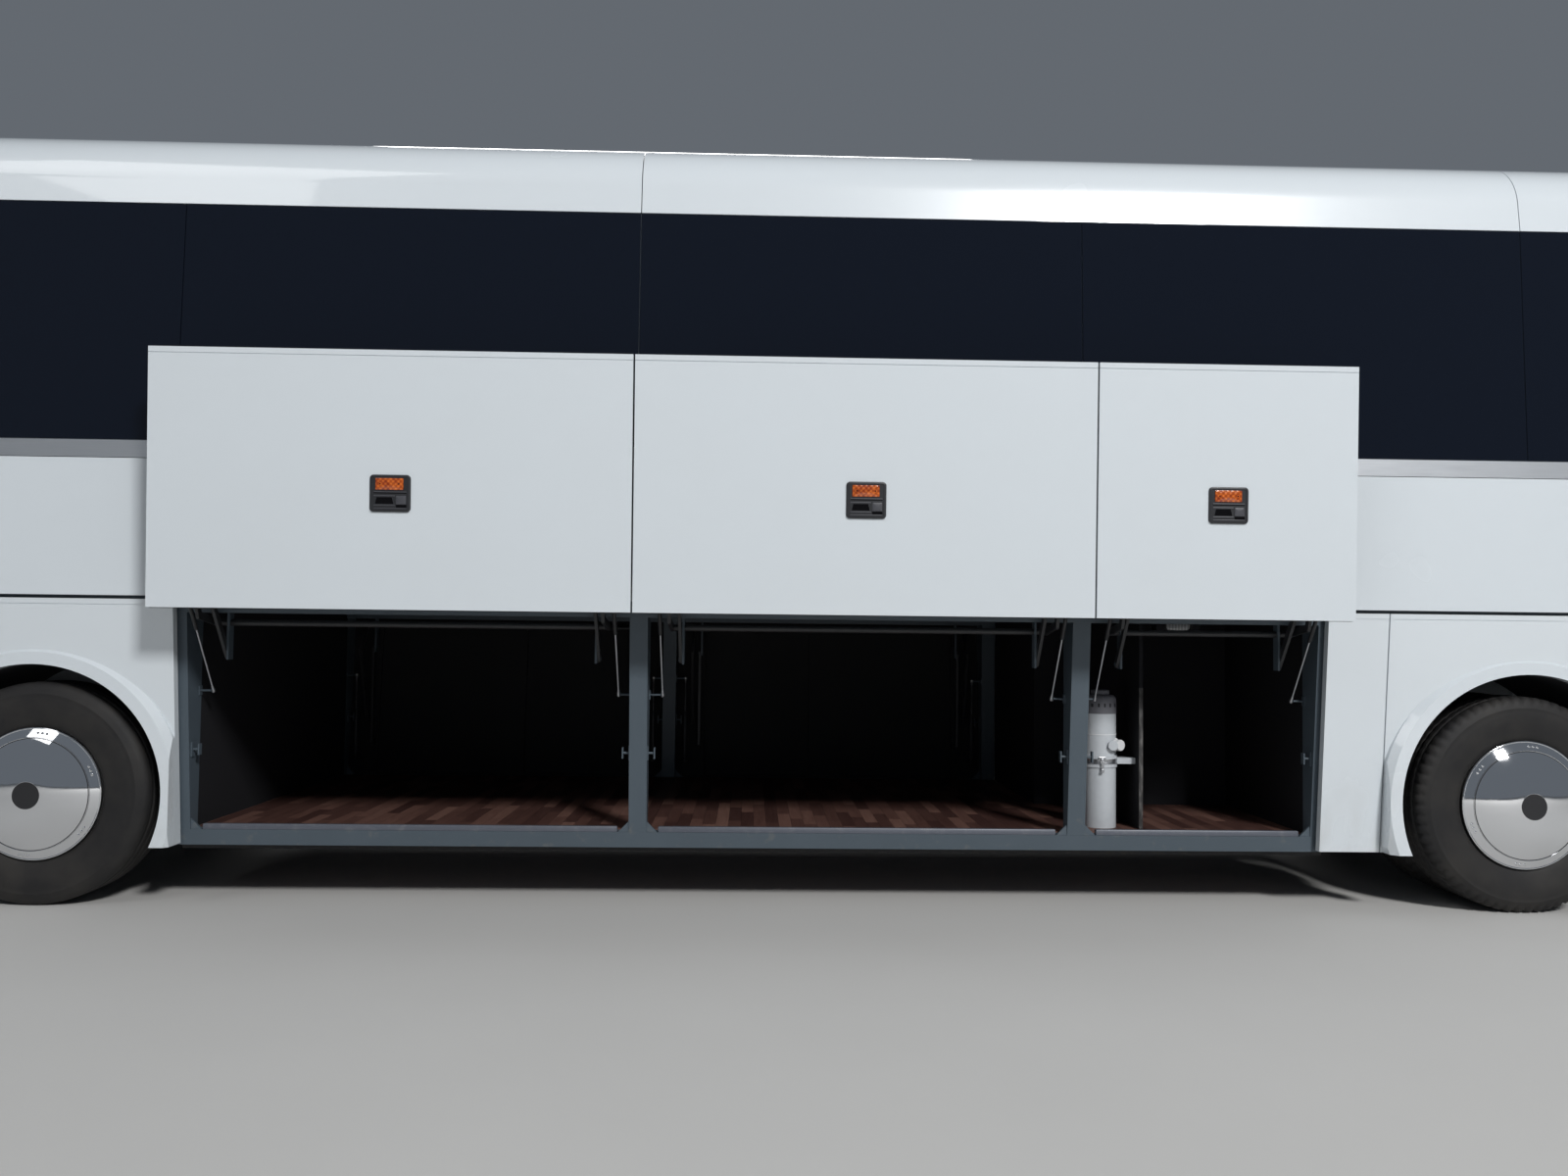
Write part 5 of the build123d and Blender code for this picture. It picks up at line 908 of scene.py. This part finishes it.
# Mirror glass: a slightly domed plate set in the rear face of each housing.
MIRROR_FACE_X, MIRROR_Y, MIRROR_Z = -6.490, 1.420, 2.720
MIRROR_WIDE_HALF, MIRROR_TALL_HALF, MIRROR_CORNER = 0.108, 0.198, 0.03
MIRROR_ROWS = ((None, -0.004), (0.0, -0.004), (0.0, 0.001), (0.004, 0.003), (0.03, 0.0045), (0.07, 0.0055),
               (None, 0.006))
silvered = Finish("mirror_glass", metallic=1.0, base_color=(0.86, 0.88, 0.89, 1))
silvered.feed("Roughness", silvered.noise(0.2) * 0.03 + 0.01)
mirror = moulded(MIRROR_ROWS, MIRROR_WIDE_HALF, MIRROR_TALL_HALF, MIRROR_CORNER)
mirrors = [stood(mirror, (MIRROR_FACE_X, side * MIRROR_Y, MIRROR_Z), (1, 0, 0)) for side in (-1, 1)]
build("mirror_plates", mirrors, silvered, "coach_body")

# Partition edge: the worn pale edge band of the plywood wall beside the canister.
PARTITION_BAND = (-0.006, 0.0012, 0.0185, 0.685, 0, 0, 0.001, 0.0005)
PARTITION_MIDDLE = (1.454, -0.950, 0.690)
worn_wood = Finish("partition_edge_band", specular_ior_level=0.3)
scratch = worn_wood.noise(0.02, 6.0, (1, 1, 0.25)).ramp(0.4, 0.7)
worn_wood.feed("Base Color", worn_wood.mix(scratch, (0.045, 0.043, 0.043), (0.15, 0.145, 0.14)))
worn_wood.feed("Roughness", scratch * 0.1 + 0.65)
worn_wood.bump(scratch, 0.0004)
build("partition_edge", [stood(raised(*PARTITION_BAND), PARTITION_MIDDLE, (0, -1, 0))], worn_wood,
      "coach_body")

# Rear louvres: black slats bent to the engine cover's skin over a near-black sheet, which is painted shade
# for the dark behind them, and a blank plate in its frame above them. A flat bar's row ends with its half
# width, its columns, and its section as inner and outer distance from the skin, low and high.
SLATS, SLAT_FIRST_Z, SLAT_PITCH, SLAT_HALF, SLAT_COLUMNS = 11, 0.76, 0.045, 0.62, 15
SLAT_SECTION = ((-0.002, 0.013), (0.002, 0.013), (0.011, -0.010), (0.011, -0.014), (-0.002, -0.014))
COVER_BARS = (("louvre_painted_shade", painted_shade_black, "mirror_black", SLAT_HALF, SLAT_COLUMNS, (-0.001, 0.001, 0.735, 1.235)),
              ("plate_frame", black, "mirror_black", 0.262, 5, (-0.001, 0.004, 1.395, 1.515)),
              ("blank_plate", white_plastic, "canister_grey", 0.255, 5, (0.0035, 0.0052, 1.401, 1.509)))
FAR_X = 8.0


def skin(node, x, y, z):
    """Where a level ray from a point far ahead of or behind the coach meets a CAD node."""
    start = Vector((x, y, z))
    met, spot, _, _ = nodes[node].ray_cast(start, Vector((-np.sign(x), 0, 0)))
    return spot if met else start


def along_cover(half, columns, section):
    """A bar of a closed (out, up) section laid across the engine cover's skin, its ends shrunk to points."""
    rings = np.array([[(skin("engine_cover", FAR_X, y, up).x + out, y, up) for out, up in section]
                      for y in np.linspace(-half, half, columns)])
    first, last = (np.broadcast_to(ring.mean(0), ring.shape) for ring in (rings[0], rings[-1]))
    return np.concatenate([[first], rings, [last]])


slats = [along_cover(SLAT_HALF, SLAT_COLUMNS, [(out, SLAT_FIRST_Z + SLAT_PITCH * step + up)
                                               for out, up in SLAT_SECTION]) for step in range(SLATS)]
build("engine_louvres", slats, black, "engine_cover")
for name, finish, slot, half, columns, (inner, outer, low, high) in COVER_BARS:
    section = ((inner, low), (outer, low), (outer, high), (inner, high))
    build(name, [along_cover(half, columns, section)], finish, "engine_cover")

# Lamp units: a chromed ring and a dark projector in each pocket of the headlamps, at y and z, with their
# radius.
LAMP_SPOTS = ((0.800, 0.745, 0.060), (0.955, 0.745, 0.060), (1.085, 0.755, 0.040))
RING_UP, RING_THICK = 0.0015, 0.004
rings, bowls = [], []
for side in (-1, 1):
    for y, z, r in LAMP_SPOTS:
        spot = skin("lamps", -FAR_X, side * y, z)
        if spot.x > -FAR_X:
            rows = ((0, -0.002), (r - 0.002, -0.002), (r - 0.002, 0.0012), (r * 0.75, 0.0035), (0, 0.006))
            rings.append(stood(hoop(r, RING_UP, RING_THICK, 40, 6), spot, (-1, 0, 0)))
            bowls.append(stood(turned(rows, 32), spot, (-1, 0, 0)))
build("headlamp_rings", [], polish, "coach_body", rings)
bulb = grained("projector_glass", 0.01, 2.0, (0.05, 0.055, 0.06), (0.12, 0.13, 0.14), 0.05, 0.05,
               coat_weight=1.0, coat_roughness=0.02)
build("headlamp_bowls", bowls, bulb, "coach_body")
